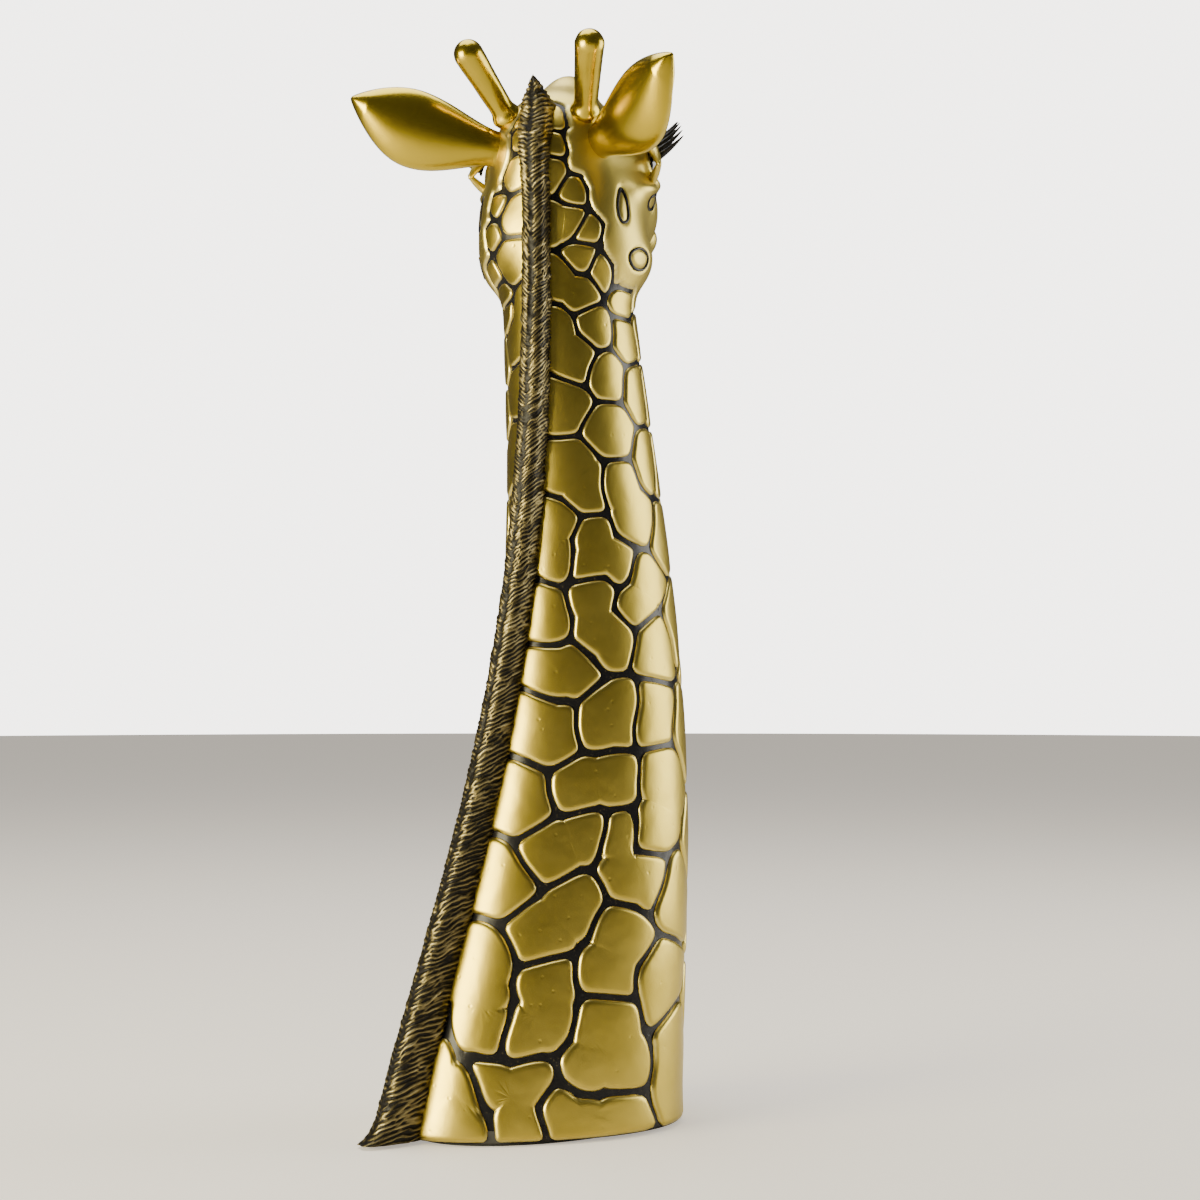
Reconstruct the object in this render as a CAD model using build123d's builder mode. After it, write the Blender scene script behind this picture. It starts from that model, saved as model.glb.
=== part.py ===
from build123d import *
import math
import os

os.makedirs("parts", exist_ok=True)

# A cast giraffe bust: a hollow neck and head that stands on its foot, a mane strip
# glued down the back, and ears, horns, eyes and lashes set into the head.
# Millimetres and degrees. The chest faces -Y, the neck turns the face towards +X.

# ---- driving dimensions: neck ----
neck_height = 335.0        # foot face to the middle of the skull
foot_length = 110.0        # chest to nape at the foot
foot_width = 74.0
poll_length = 52.0         # chest to nape where the neck meets the skull
poll_width = 46.0
neck_turn = 37.0           # how far the head looks towards +X
foot_forward = 6.5         # neck axis in front of the origin at the foot
poll_forward = 16.0        # and at the skull
poll_side = 2.0
neck_bow = 14.5            # extra forward curve halfway up
length_taper = 1.3         # powers of the taper towards the skull
width_taper = 1.1
bow_lean = 0.9
bow_sharpness = 1.5
turn_delay = 1.3
neck_stations = 10
wall = 8.0                 # thickness of the cast resin
cavity_share = 0.86        # how far up the neck is hollow

# ---- driving dimensions: head, in head axes (forward, left, above the neck top) ----
skull_radius = 26.8
skull_forward = 0.0
skull_rise = 7.0
crown_radius = 14.0        # the bump on the forehead
crown_forward = 9.0
crown_rise = 26.0
muzzle_radius = 16.0
muzzle_forward = 56.0
muzzle_rise = -17.0
jaw_radius = 21.0
jaw_forward = 2.0
jaw_rise = -12.0
chin_radius = 12.0
chin_forward = 50.0
chin_rise = -23.0
brow_radius = 11.5
brow_forward = 9.0
brow_side = 21.0
brow_rise = 4.0
cheek_radius = 20.5
cheek_forward = -1.0
cheek_side = 11.0
cheek_rise = -18.0
cheekbone_radius = 12.5
cheekbone_forward = 20.0
cheekbone_side = 17.5
cheekbone_rise = -9.0
jowl_radius = 14.0
jowl_forward = 6.0
jowl_side = 15.0
jowl_rise = -29.0
eye_aim_forward = 0.45     # direction of an eye: forward, out and up
eye_aim_out = 0.9
eye_aim_up = 0.05

# ---- driving dimensions: mane ----
mane_width = 8.5           # thickness of the fin at the skull
mane_foot_width = 10.0     # and at the foot
mane_stand = 8.0           # height of the fin over the nape
mane_foot_stand = 14.0     # and at the foot
mane_root = 5.0            # depth of the fin's blank below the skin
mane_top = 27.0            # how far the fin rises past the neck top
mane_top_stand = 16.0      # depth of its free end

# ---- driving dimensions: horns and ears ----
seat_sink = 2.5            # depth of the horn and ear seats below the skull's skin
horn_seat_back = 16.0      # where a horn stands, seen from the middle of the skull
horn_seat_out = 14.0
horn_seat_up = 11.0
horn_length = 28.0         # seat to the middle of the rounded tip
horn_root_radius = 4.2
horn_tip_radius = 5.2
horn_lean_back = 18.0      # direction of a horn: back, out and up
horn_lean_out = 7.5
horn_lean_up = 18.0
collar_radius = 6.2
collar_height = 4.0
ear_seat_back = 15.0       # where an ear grows, seen from the middle of the skull
ear_seat_out = 19.0
ear_seat_up = 1.0
ear_length = 54.0
ear_half_width = 13.5
ear_half_thickness = 5.5
ear_widest = 0.55          # share of the length where the ear is widest
ear_root_share = 0.42      # root width as a share of the widest
ear_wall = 2.2
left_ear_lean = (24.0, 42.0, 15.0)   # direction of an ear: back, out and up
right_ear_lean = (37.0, 34.5, 18.0)
ear_tip_power = 0.8        # bluntness of the leaf's free end
ear_end_share = 1.02       # where the leaf's outline would close, past its last section
ear_tip_thinning = 0.55    # share of the thickness lost at the tip
ear_stations = (0.0, 0.2, 0.4, 0.6, 0.8, 0.92, 0.99)
bowl_stations = (0.22, 0.4, 0.6, 0.8, 0.9)
mane_taper = 4.0           # draft of the mane's free end, degrees
horn_gap = 0.3             # clear space between a horn and the ear beside it

# ---- driving dimensions: eyes, pins and base ----
eye_radius = 7.0
eye_height = 1.5           # straight side of the glass eye, under its dome
eye_dome = 4.5
socket_depth = 5.0
glue_gap = 0.1             # clearance all round an inserted piece
lid_width = 2.8
lid_reach = 5.0            # how far the lid stands out past the brow
lash_count = 5
lash_length = 4.5
lash_width = 2.4
pin_radius = 1.5
pin_length = 14.0
plate_thickness = 4.0
plate_rim = 6.0            # cast rim left round the base plate
pad_thickness = 1.2
pad_inset = 7.5
embed = 8.0                # how far the blanks of horns and ears start inside the head


def smooth_step(share):
    """Ease from 0 to 1 with level ends."""
    return share * share * (3 - 2 * share)


def neck_plane(share):
    """Level plane across the neck at a share of its height, x towards the chest."""
    forward = foot_forward + (poll_forward - foot_forward) * share
    forward += neck_bow * max(0, math.sin(math.pi * share ** bow_lean)) ** bow_sharpness
    side = poll_side * share ** 3
    turn = math.radians(neck_turn * smooth_step(share ** turn_delay))
    return Plane(
        origin=(side, -forward, neck_height * share),
        x_dir=(math.sin(turn), -math.cos(turn), 0),
        z_dir=(0, 0, 1),
    )


def half_length(share):
    """Half of the neck's chest to nape size at a share of its height."""
    return (poll_length + (foot_length - poll_length) * (1 - share) ** length_taper) / 2


def half_width(share):
    """Half of the neck's width at a share of its height."""
    return (poll_width + (foot_width - poll_width) * (1 - share) ** width_taper) / 2


HEAD = neck_plane(1.0)


def head_point(forward, left, rise):
    """A place on the head, from its forward, left and upward distances."""
    return HEAD.from_local_coords(Vector(forward, left, rise))


def head_direction(forward, left, up):
    """A unit direction given in head axes."""
    return (head_point(forward, left, up) - HEAD.origin).normalized()


def seat_plane(origin, direction):
    """A plane whose z follows a direction, with its y as upright as it can be."""
    level = Vector(-direction.Y, direction.X, 0)
    return Plane(origin=origin, x_dir=level, z_dir=direction)


def round_cone(start, start_radius, end, end_radius):
    """Two balls and the cone that touches both, as one turned solid."""
    axis = end - start
    distance = axis.length
    tilt = math.asin((start_radius - end_radius) / distance)
    tilt_degrees = math.degrees(tilt)
    plane = Plane(origin=start, x_dir=axis, z_dir=axis.cross(Vector(0, 0, 1)))
    with BuildPart() as turned:
        with BuildSketch(plane):
            with BuildLine():
                back = CenterArc((0, 0), start_radius, 180, -90 - tilt_degrees)
                front = CenterArc((distance, 0), end_radius, 90 - tilt_degrees, tilt_degrees - 90)
                Line(back @ 1, front @ 0)
                Line(front @ 1, back @ 0)
            make_face()
        revolve(axis=Axis(start, axis))
    return turned.part


# ---- outer form of the neck and head, which the pieces on it are cut to fit ----
with BuildPart() as outer_form:
    for station in range(neck_stations):
        share = station / (neck_stations - 1)
        with BuildSketch(neck_plane(share)):
            Ellipse(half_length(share), half_width(share))
    loft()
    skull_place = head_point(skull_forward, 0, skull_rise)
    muzzle_place = head_point(muzzle_forward, 0, muzzle_rise)
    jaw_place = head_point(jaw_forward, 0, jaw_rise)
    chin_place = head_point(chin_forward, 0, chin_rise)
    add(round_cone(skull_place, skull_radius, muzzle_place, muzzle_radius))
    add(round_cone(jaw_place, jaw_radius, chin_place, chin_radius))
    with Locations(head_point(crown_forward, 0, crown_rise)):
        Sphere(crown_radius)
    with Locations(
        head_point(brow_forward, brow_side, brow_rise),
        head_point(brow_forward, -brow_side, brow_rise),
    ):
        Sphere(brow_radius)
    with Locations(
        head_point(cheek_forward, cheek_side, cheek_rise),
        head_point(cheek_forward, -cheek_side, cheek_rise),
    ):
        Sphere(cheek_radius)
    with Locations(
        head_point(cheekbone_forward, cheekbone_side, cheekbone_rise),
        head_point(cheekbone_forward, -cheekbone_side, cheekbone_rise),
    ):
        Sphere(cheekbone_radius)
    with Locations(
        head_point(jowl_forward, jowl_side, jowl_rise),
        head_point(jowl_forward, -jowl_side, jowl_rise),
    ):
        Sphere(jowl_radius)


def skull_seat(back, left, up):
    """A place just below the skull's skin, in a direction from the skull's middle."""
    return skull_place + head_direction(-back, left, up) * (skull_radius - seat_sink)


def horn_plane(side):
    """Seat of a horn, z along the horn. side is 1 on the left and -1 on the right."""
    direction = head_direction(-horn_lean_back, side * horn_lean_out, horn_lean_up)
    seat = skull_seat(horn_seat_back, side * horn_seat_out, horn_seat_up)
    return seat_plane(seat, direction)


def ear_plane(side):
    """Root of an ear, z along the ear and x towards the side that its hollow faces."""
    back, out, up = left_ear_lean if side > 0 else right_ear_lean
    direction = head_direction(-back, side * out, up)
    seat = skull_seat(ear_seat_back, side * ear_seat_out, ear_seat_up)
    front = HEAD.x_dir - direction * HEAD.x_dir.dot(direction)
    return Plane(origin=seat, x_dir=front, z_dir=direction)


def eye_plane(side):
    """Middle of a brow ball, z out through the eye and y upwards."""
    direction = head_direction(eye_aim_forward, side * eye_aim_out, eye_aim_up)
    return seat_plane(head_point(brow_forward, side * brow_side, brow_rise), direction)


def pin_start(plane):
    """Centre plane of a pin that runs through a seat, half on each side."""
    return plane.offset(-pin_length / 2)


def pin_hole(plane):
    """Hole for one pin, with the glue gap round it and at both its ends."""
    with BuildPart() as hole:
        with BuildSketch(plane.offset(-pin_length / 2 - glue_gap)):
            Circle(pin_radius + glue_gap)
        extrude(amount=pin_length + 2 * glue_gap)
    return hole.part


# ---- hollow casting of the neck and head ----
socket_floor = brow_radius - socket_depth
with BuildPart() as cavity:
    for station in range(neck_stations):
        share = cavity_share * station / (neck_stations - 1)
        with BuildSketch(neck_plane(share)):
            Ellipse(half_length(share) - wall, half_width(share) - wall)
    loft()

with BuildPart() as neck_and_head:
    add(outer_form.part)
    add(cavity.part, mode=Mode.SUBTRACT)
    with BuildSketch(neck_plane(0)):
        Ellipse(half_length(0) - plate_rim, half_width(0) - plate_rim)
    extrude(amount=plate_thickness, mode=Mode.SUBTRACT)
    for side in (1, -1):
        with BuildSketch(eye_plane(side).offset(socket_floor)):
            Circle(eye_radius + glue_gap)
        extrude(amount=2 * socket_depth, mode=Mode.SUBTRACT)
        add(pin_hole(horn_plane(side)), mode=Mode.SUBTRACT)
        add(pin_hole(ear_plane(side)), mode=Mode.SUBTRACT)
neck_and_head.part.label = "neck_and_head"

# ---- mane strip: a fin down the nape, cut to the skin it is glued to ----
with BuildPart() as mane_strip:
    for station in range(neck_stations):
        share = station / (neck_stations - 1)
        stand = mane_stand + (mane_foot_stand - mane_stand) * (1 - share) ** 3
        depth = stand + mane_root
        thickness = mane_foot_width + (mane_width - mane_foot_width) * share
        with BuildSketch(neck_plane(share)):
            with Locations((-half_length(share) - stand + depth / 2, 0)):
                SlotOverall(depth, thickness)
    loft()
    crest_back = half_length(1) + mane_stand
    with BuildSketch(HEAD):
        with Locations((-crest_back + mane_top_stand / 2, 0)):
            SlotOverall(mane_top_stand, mane_width)
    extrude(amount=mane_top, taper=mane_taper)
    add(outer_form.part, mode=Mode.SUBTRACT)
mane_strip.part.label = "mane_strip"


def make_horn(side, extra):
    """A club horn with a collar at its root, grown all round by extra."""
    plane = horn_plane(side)
    axis = Axis(plane.origin, plane.z_dir)
    profile_plane = Plane(origin=plane.origin, x_dir=plane.z_dir, z_dir=plane.y_dir)
    with BuildPart() as horn:
        with BuildSketch(profile_plane):
            with BuildLine():
                tip = CenterArc((horn_length, 0), horn_tip_radius + extra, 0, 90)
                side_line = Line(tip @ 1, (-embed, horn_root_radius + extra))
                end_line = Line(side_line @ 1, (-embed, 0))
                Line(end_line @ 1, tip @ 0)
            make_face()
        revolve(axis=axis)
        with BuildSketch(plane):
            Circle(collar_radius + extra)
        extrude(amount=collar_height + extra)
        with BuildSketch(plane):
            Circle(collar_radius + extra)
        extrude(amount=-embed / 2)
    return horn.part


def finish_horn(side):
    """The horn cut to the skull it stands on, with its pin hole."""
    with BuildPart() as horn:
        add(make_horn(side, 0))
        add(outer_form.part, mode=Mode.SUBTRACT)
        add(pin_hole(horn_plane(side)), mode=Mode.SUBTRACT)
    return horn.part


left_horn = finish_horn(1)
left_horn.label = "left_horn"
right_horn = finish_horn(-1)
right_horn.label = "right_horn"


def ear_width(share):
    """Half-width of the leaf: it swells from its root to its widest place, then narrows."""
    if share < ear_widest:
        swell = math.sin(math.pi / 2 * share / ear_widest)
        return ear_half_width * (ear_root_share + (1 - ear_root_share) * swell)
    narrowing = (share - ear_widest) / (ear_end_share - ear_widest)
    return ear_half_width * math.cos(math.pi / 2 * narrowing) ** ear_tip_power


def make_bowl(side):
    """The hollow of an ear, from a fifth of its length to near its tip."""
    plane = ear_plane(side)
    hollow_side = ear_half_thickness - ear_wall / 2
    with BuildPart() as bowl:
        for share in bowl_stations:
            with BuildSketch(plane.offset(ear_length * share)):
                with Locations((hollow_side, 0)):
                    Ellipse(ear_half_thickness, ear_width(share) - ear_wall)
        loft()
    return bowl.part


def make_ear(side):
    """A leaf shaped ear, hollow on the side that faces forward and out."""
    plane = ear_plane(side)
    with BuildPart() as ear:
        with BuildSketch(plane.offset(-embed)):
            Ellipse(ear_half_thickness, ear_width(0))
        for share in ear_stations:
            with BuildSketch(plane.offset(ear_length * share)):
                thin = ear_half_thickness * (1 - ear_tip_thinning * share ** 3)
                Ellipse(thin, ear_width(share))
        loft()
        add(make_bowl(side), mode=Mode.SUBTRACT)
        add(outer_form.part, mode=Mode.SUBTRACT)
        add(make_horn(side, horn_gap), mode=Mode.SUBTRACT)
        add(pin_hole(plane), mode=Mode.SUBTRACT)
    return ear.part


left_ear = make_ear(1)
left_ear.label = "left_ear"
right_ear = make_ear(-1)
right_ear.label = "right_ear"


def make_pins(planes):
    """Steel pins, one on each seat plane."""
    with BuildPart() as pins:
        for plane in planes:
            with BuildSketch(pin_start(plane)):
                Circle(pin_radius)
            extrude(amount=pin_length)
    return pins.part


ear_pins = make_pins([ear_plane(1), ear_plane(-1)])
ear_pins.label = "ear_pins"
horn_pins = make_pins([horn_plane(1), horn_plane(-1)])
horn_pins.label = "horn_pins"


def make_eye(side):
    """A flat-backed domed glass eye that stands on the floor of its socket."""
    plane = eye_plane(side).offset(socket_floor)
    profile_plane = Plane(origin=plane.origin, x_dir=plane.x_dir, z_dir=-plane.y_dir)
    dome_radius = (eye_radius ** 2 + eye_dome ** 2) / (2 * eye_dome)
    dome_middle = eye_height + eye_dome - dome_radius
    dome_start = math.degrees(math.asin((eye_height - dome_middle) / dome_radius))
    with BuildPart() as eye:
        with BuildSketch(profile_plane):
            with BuildLine():
                floor = Line((0, 0), (eye_radius, 0))
                rim = Line(floor @ 1, (eye_radius, eye_height))
                dome = CenterArc((0, dome_middle), dome_radius, dome_start, 90 - dome_start)
                Line(dome @ 1, (0, 0))
            make_face()
        revolve(axis=Axis(plane.origin, plane.z_dir))
    return eye.part


left_eye = make_eye(1)
left_eye.label = "left_eye"
right_eye = make_eye(-1)
right_eye.label = "right_eye"


def make_lashes(side):
    """The heavy lid over an eye with a fan of lashes on it."""
    plane = eye_plane(side).offset(socket_floor)
    inner = eye_radius + glue_gap
    outer = inner + lid_width
    reach = socket_depth + lid_reach
    with BuildPart() as lashes:
        with BuildSketch(plane):
            Circle(outer)
            Circle(inner, mode=Mode.SUBTRACT)
            with Locations((0, -outer)):
                Rectangle(2 * outer, 2 * outer, mode=Mode.SUBTRACT)
            for number in range(lash_count):
                angle = 180 * (number + 0.5) / lash_count
                with Locations(Location((0, 0, 0), (0, 0, angle))):
                    with Locations((outer + lash_length / 2 - lid_width / 2, 0)):
                        Rectangle(lash_length, lash_width)
        extrude(amount=reach)
        add(outer_form.part, mode=Mode.SUBTRACT)
    return lashes.part


left_lashes = make_lashes(1)
left_lashes.label = "left_lashes"
right_lashes = make_lashes(-1)
right_lashes.label = "right_lashes"

# ---- base plate in the mouth of the casting, and the felt pad under it ----
with BuildPart() as base_plate:
    with BuildSketch(neck_plane(0)):
        Ellipse(half_length(0) - plate_rim - glue_gap, half_width(0) - plate_rim - glue_gap)
    extrude(amount=plate_thickness)
base_plate.part.label = "base_plate"

with BuildPart() as felt_pad:
    with BuildSketch(neck_plane(0).offset(-pad_thickness)):
        Ellipse(half_length(0) - pad_inset, half_width(0) - pad_inset)
    extrude(amount=pad_thickness)
felt_pad.part.label = "felt_pad"

# ---- every piece moves together, so that the assembly stands on the middle of its box ----
pieces = [
    neck_and_head.part,
    mane_strip.part,
    left_ear,
    right_ear,
    left_horn,
    right_horn,
    left_eye,
    right_eye,
    left_lashes,
    right_lashes,
    ear_pins,
    horn_pins,
    base_plate.part,
    felt_pad.part,
]
assembly_box = Compound(pieces).bounding_box()
middle = assembly_box.center()
shift = Location((-middle.X, -middle.Y, -assembly_box.min.Z))
for piece in pieces:
    placed = piece.moved(shift)
    placed.label = piece.label
    export_step(placed, "parts/" + piece.label + ".step")
print("size", assembly_box.size)
print("moved by", shift.position)
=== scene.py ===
# %% [markdown]
# # A cast giraffe bust
# The object is a hollow resin casting finished in satin gold. Its hide is raised pads between
# black grooves, a fin of carved hair runs down the nape, and the ears, horns and eyes are set in.
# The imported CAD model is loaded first, because every piece here takes its place from it.

# %% Load the CAD frame
import bpy
import numpy as np
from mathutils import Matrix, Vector


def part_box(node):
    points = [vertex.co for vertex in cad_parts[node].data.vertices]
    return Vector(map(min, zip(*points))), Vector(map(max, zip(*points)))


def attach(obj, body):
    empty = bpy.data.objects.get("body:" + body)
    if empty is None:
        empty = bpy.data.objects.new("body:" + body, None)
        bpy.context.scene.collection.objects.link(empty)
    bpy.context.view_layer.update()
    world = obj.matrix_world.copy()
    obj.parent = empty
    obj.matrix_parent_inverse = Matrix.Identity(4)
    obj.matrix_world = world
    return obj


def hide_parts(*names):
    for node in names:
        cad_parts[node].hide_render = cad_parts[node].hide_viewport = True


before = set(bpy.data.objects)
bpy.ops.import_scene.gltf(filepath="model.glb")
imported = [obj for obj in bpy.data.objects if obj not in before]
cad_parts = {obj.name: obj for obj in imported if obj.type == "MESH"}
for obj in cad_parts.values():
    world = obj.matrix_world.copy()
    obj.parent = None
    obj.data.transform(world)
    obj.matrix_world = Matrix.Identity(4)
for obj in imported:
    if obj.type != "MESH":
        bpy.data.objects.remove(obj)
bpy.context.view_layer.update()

# %% [markdown]
# ## Where things are
# All shapes are worked out in millimetres in the casting's own axes: the foot's middle is at the
# origin, the chest faces -Y and Z is up. The base plate of the CAD model says where that origin
# lies in the shared frame. These sizes are the driving sizes of the casting.

# %% Origin and driving sizes
MM = 0.001
NECK_HEIGHT = 335.0
FOOT_LENGTH, POLL_LENGTH = 110.0, 52.0
FOOT_WIDTH, POLL_WIDTH = 74.0, 46.0
FOOT_FORWARD, POLL_FORWARD, POLL_SIDE = 6.5, 16.0, 2.0
NECK_TURN = 37.0
NECK_BOW = 14.5
plate_low, plate_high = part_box("base_plate")
ORIGIN = np.array([
    (plate_low.x + plate_high.x) / 2 / MM,
    (plate_low.y + plate_high.y) / 2 / MM + FOOT_FORWARD,
    plate_low.z / MM,
])
print("casting origin in the frame", ORIGIN.round(2))

# %% [markdown]
# ## Camera
# The camera comes first, so that each piece can be judged as it is made. It stands behind the
# giraffe's right shoulder at the height of the middle of the neck, and tips up a little.

# %% Camera
CAMERA_AZIMUTH = 235.0
CAMERA_DISTANCE = 812.0
CAMERA_HEIGHT = 159.5
CAMERA_ASIDE = 25.7
CAMERA_TIP = 1.66
CAMERA_LENS = 69.27
azimuth = np.radians(CAMERA_AZIMUTH)
to_camera = np.array([np.sin(azimuth), -np.cos(azimuth), 0.0])
camera_right = np.array([np.cos(azimuth), np.sin(azimuth), 0.0])
camera_place = to_camera * CAMERA_DISTANCE + camera_right * CAMERA_ASIDE
camera_place[2] = CAMERA_HEIGHT
camera_data = bpy.data.cameras.new("camera")
camera_data.lens = CAMERA_LENS
camera_data.sensor_width = 36.0
camera_data.clip_start = 0.01
camera = bpy.data.objects.new("camera", camera_data)
bpy.context.scene.collection.objects.link(camera)
camera.location = Vector((camera_place + ORIGIN) * MM)
camera.rotation_euler = (np.radians(90 + CAMERA_TIP), 0, azimuth)
bpy.context.scene.camera = camera
print("camera at", [round(v, 3) for v in camera.location])

# %% [markdown]
# ## The form of the neck and head
# A carver thinks of the neck as a stack of slightly egg-shaped ovals along a bowed and twisted
# line, and of the head as a few soft masses pushed together: skull, cheeks, brows, nose, jaw and
# muzzle. Written as a formula, each mass gives a number that is negative inside and positive
# outside, and a soft minimum melts them into one another. The ground, pads, face, mane and
# engraved lines ask this one formula where the skin is, so they all agree.

# %% Neck line and head axes
def eased(share):
    """A share from 0 to 1 that starts and ends gently."""
    return share ** 2 * (3 - 2 * share)


def neck_line(height):
    """Middle, turn, half-length, half-width and egg shape of the neck's oval at each height."""
    share = np.clip(height / NECK_HEIGHT, 0, 1)
    bow = NECK_BOW * np.maximum(np.sin(np.pi * share ** 0.9), 0) ** 1.5
    forward = FOOT_FORWARD + (POLL_FORWARD - FOOT_FORWARD) * share + bow
    turn = np.radians(NECK_TURN * eased(share ** 1.3))
    half_length = (POLL_LENGTH + (FOOT_LENGTH - POLL_LENGTH) * (1 - share) ** 1.3) / 2
    half_width = (POLL_WIDTH + (FOOT_WIDTH - POLL_WIDTH) * (1 - share) ** 1.1) / 2
    egg = 0.2 * (1 - share) + 0.03
    return POLL_SIDE * share ** 3, -forward, turn, half_length, half_width, egg


def level_axes(turn):
    """Level unit vectors towards the chest and towards the giraffe's right, for each turn."""
    front = np.stack([np.sin(turn), -np.cos(turn), 0 * turn], -1)
    right = np.stack([-np.cos(turn), -np.sin(turn), 0 * turn], -1)
    return front, right


HEAD_FRONT, HEAD_RIGHT = level_axes(np.radians(NECK_TURN))
HEAD_UP = np.array([0.0, 0.0, 1.0])
HEAD_ORIGIN = np.array([POLL_SIDE, -POLL_FORWARD, NECK_HEIGHT])
HEAD_AXES = np.stack([HEAD_FRONT, HEAD_RIGHT, HEAD_UP])


def to_head(points):
    """Casting coordinates to head coordinates: forward, right, up from the top of the neck."""
    return (points - HEAD_ORIGIN) @ HEAD_AXES.T


def from_head(places):
    """Head coordinates back to casting coordinates."""
    return HEAD_ORIGIN + np.asarray(places, float) @ HEAD_AXES


def unit(vectors):
    """Vectors scaled to length one."""
    vectors = np.asarray(vectors, float)
    return vectors / np.linalg.norm(vectors, axis=-1, keepdims=True)


# %% Masses of the head, and the whole form
# name: middle (forward, right, up), half-sizes, tip of the nose downwards in degrees.
# A mass with a right of more than 0 stands on both sides.
HEAD_MASSES = {
    "skull": ((-1, 0, 6), (26.5, 25.0, 26.0), 0),
    "forehead_bump": ((9, 0, 25), (13.5, 11.5, 14.5), 0),
    "cheek": ((-1, 12, -19), (22.0, 18.5, 26.0), 0),
    "cheekbone": ((20, 18.5, -9), (19.0, 11.5, 16.0), 20),
    "brow": ((9, 20.5, 4), (12.0, 10.0, 9.5), 0),
    "nose": ((31, 0, 2), (31.0, 13.5, 14.0), 42),
    "jaw": ((24, 0, -18), (30.0, 14.0, 13.0), 12),
    "muzzle": ((52, 0, -19), (18.0, 17.5, 14.0), 38),
    "nostril_swell": ((60, 11, -12), (7.5, 7.5, 6.0), 38),
    "jowl": ((6, 15, -30), (19.0, 17.0, 13.5), 0),
    "lower_lid": ((7, 27, -5), (9.0, 6.5, 3.2), -8),
}
BLEND = 3.0
MELT_FILL = 1.6
NECK_END_UP, NECK_END_SOFTNESS = 6.0, 60.0


def oval_field(places, middle, half_sizes, pitch):
    """Rough distance to an ellipsoid: q (q - 1) / |gradient|, with q the scaled radius."""
    away = places - np.array(middle, float)
    tip = np.radians(pitch)
    along = away[..., 0] * np.cos(tip) - away[..., 2] * np.sin(tip)
    above = away[..., 0] * np.sin(tip) + away[..., 2] * np.cos(tip)
    scaled = np.stack([along, away[..., 1], above], -1) / np.array(half_sizes)
    reach = np.linalg.norm(scaled, axis=-1)
    slope = np.linalg.norm(scaled / np.array(half_sizes), axis=-1) + 1e-9
    return reach * (reach - 1) / slope


def neck_field(points):
    """Scaled radius of the neck's oval less one, times its mean half-size."""
    x, y, turn, half_length, half_width, egg = neck_line(points[..., 2])
    front, right = level_axes(turn)
    dx, dy = points[..., 0] - x, points[..., 1] - y
    along = (dx * front[..., 0] + dy * front[..., 1]) / half_length
    wide = half_width * (1 + egg * np.clip(along, -1, 1))
    across = (dx * right[..., 0] + dy * right[..., 1]) / wide
    return (np.hypot(along, across) - 1) * np.sqrt(half_length * half_width)


def form(points):
    """The soft minimum of the neck and all head masses: below 0 inside, above 0 outside."""
    places = to_head(points)
    both_sides = places.copy()
    both_sides[..., 1] = np.abs(both_sides[..., 1])
    neck, top = neck_field(points), places[..., 2] - NECK_END_UP
    fields = [0.5 * (neck + top + np.sqrt((neck - top) ** 2 + NECK_END_SOFTNESS))]
    for middle, half_sizes, pitch in HEAD_MASSES.values():
        at = both_sides if middle[1] > 0 else places
        fields.append(oval_field(at, middle, half_sizes, pitch))
    fields = np.stack(fields)
    least = fields.min(0)
    melted = np.exp(-(fields - least) / BLEND).sum(0)
    return least - BLEND * np.log(melted) + BLEND * np.log(MELT_FILL)


# %% Finding the skin
def slope_of(points, step=0.05):
    """Gradient of the form by central differences."""
    steps = np.eye(3) * step
    return np.stack([form(points + s) - form(points - s) for s in steps], -1) / (2 * step)


def settle(points, rounds=2):
    """Newton steps along the gradient until the points lie on the skin."""
    for _ in range(rounds):
        slope = slope_of(points)
        points = points - slope * (form(points) / (slope ** 2).sum(-1))[..., None]
    return points


def skin_along(starts, directions, reach=80.0, steps=28, halvings=11):
    """Where rays that start inside leave the form: first outside step, then halving."""
    near = np.zeros(directions.shape[:-1])
    far = np.full(directions.shape[:-1], reach)
    found = np.zeros(near.shape, bool)
    for distance in np.linspace(0, reach, steps + 1)[1:]:
        outside = form(starts + directions * distance) > 0
        far = np.where(outside & ~found, distance, far)
        found |= outside
        near = np.where(found, near, distance)
    for _ in range(halvings):
        middle = (near + far) / 2
        outside = form(starts + directions * middle[..., None]) > 0
        far = np.where(outside, middle, far)
        near = np.where(outside, near, middle)
    return starts + directions * ((near + far) / 2)[..., None]


# %% [markdown]
# ## From arrays to meshes
# A surface is a grid of points that a function of two parameters gives. One helper turns grids
# into quads, closes the ends with a fan, and turns the faces outwards by the sign of the volume.

# %% Mesh helpers
def grid_quads(rows, columns, first=0):
    """Quads of a grid whose columns close on themselves. Vertices run row by row."""
    row = np.arange(rows - 1)[:, None] * columns
    column = np.arange(columns)[None, :]
    after = (column + 1) % columns
    corners = [row + column, row + after, row + columns + after, row + columns + column]
    quads = np.stack(corners, -1)
    return quads.reshape(-1, 4) + first


def fan(ring, tip):
    """Triangles from a ring of vertex numbers to one tip vertex."""
    return np.stack([ring, np.roll(ring, -1), np.full(len(ring), tip)], -1)


def signed_volume(points, quads, triangles):
    """Volume inside a closed mesh: positive when its faces point outwards."""
    faces = np.concatenate([quads[:, [0, 1, 2]], quads[:, [0, 2, 3]], triangles])
    a, b, c = (points[faces[:, i]] for i in range(3))
    return (a * np.cross(b, c)).sum() / 6


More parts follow.
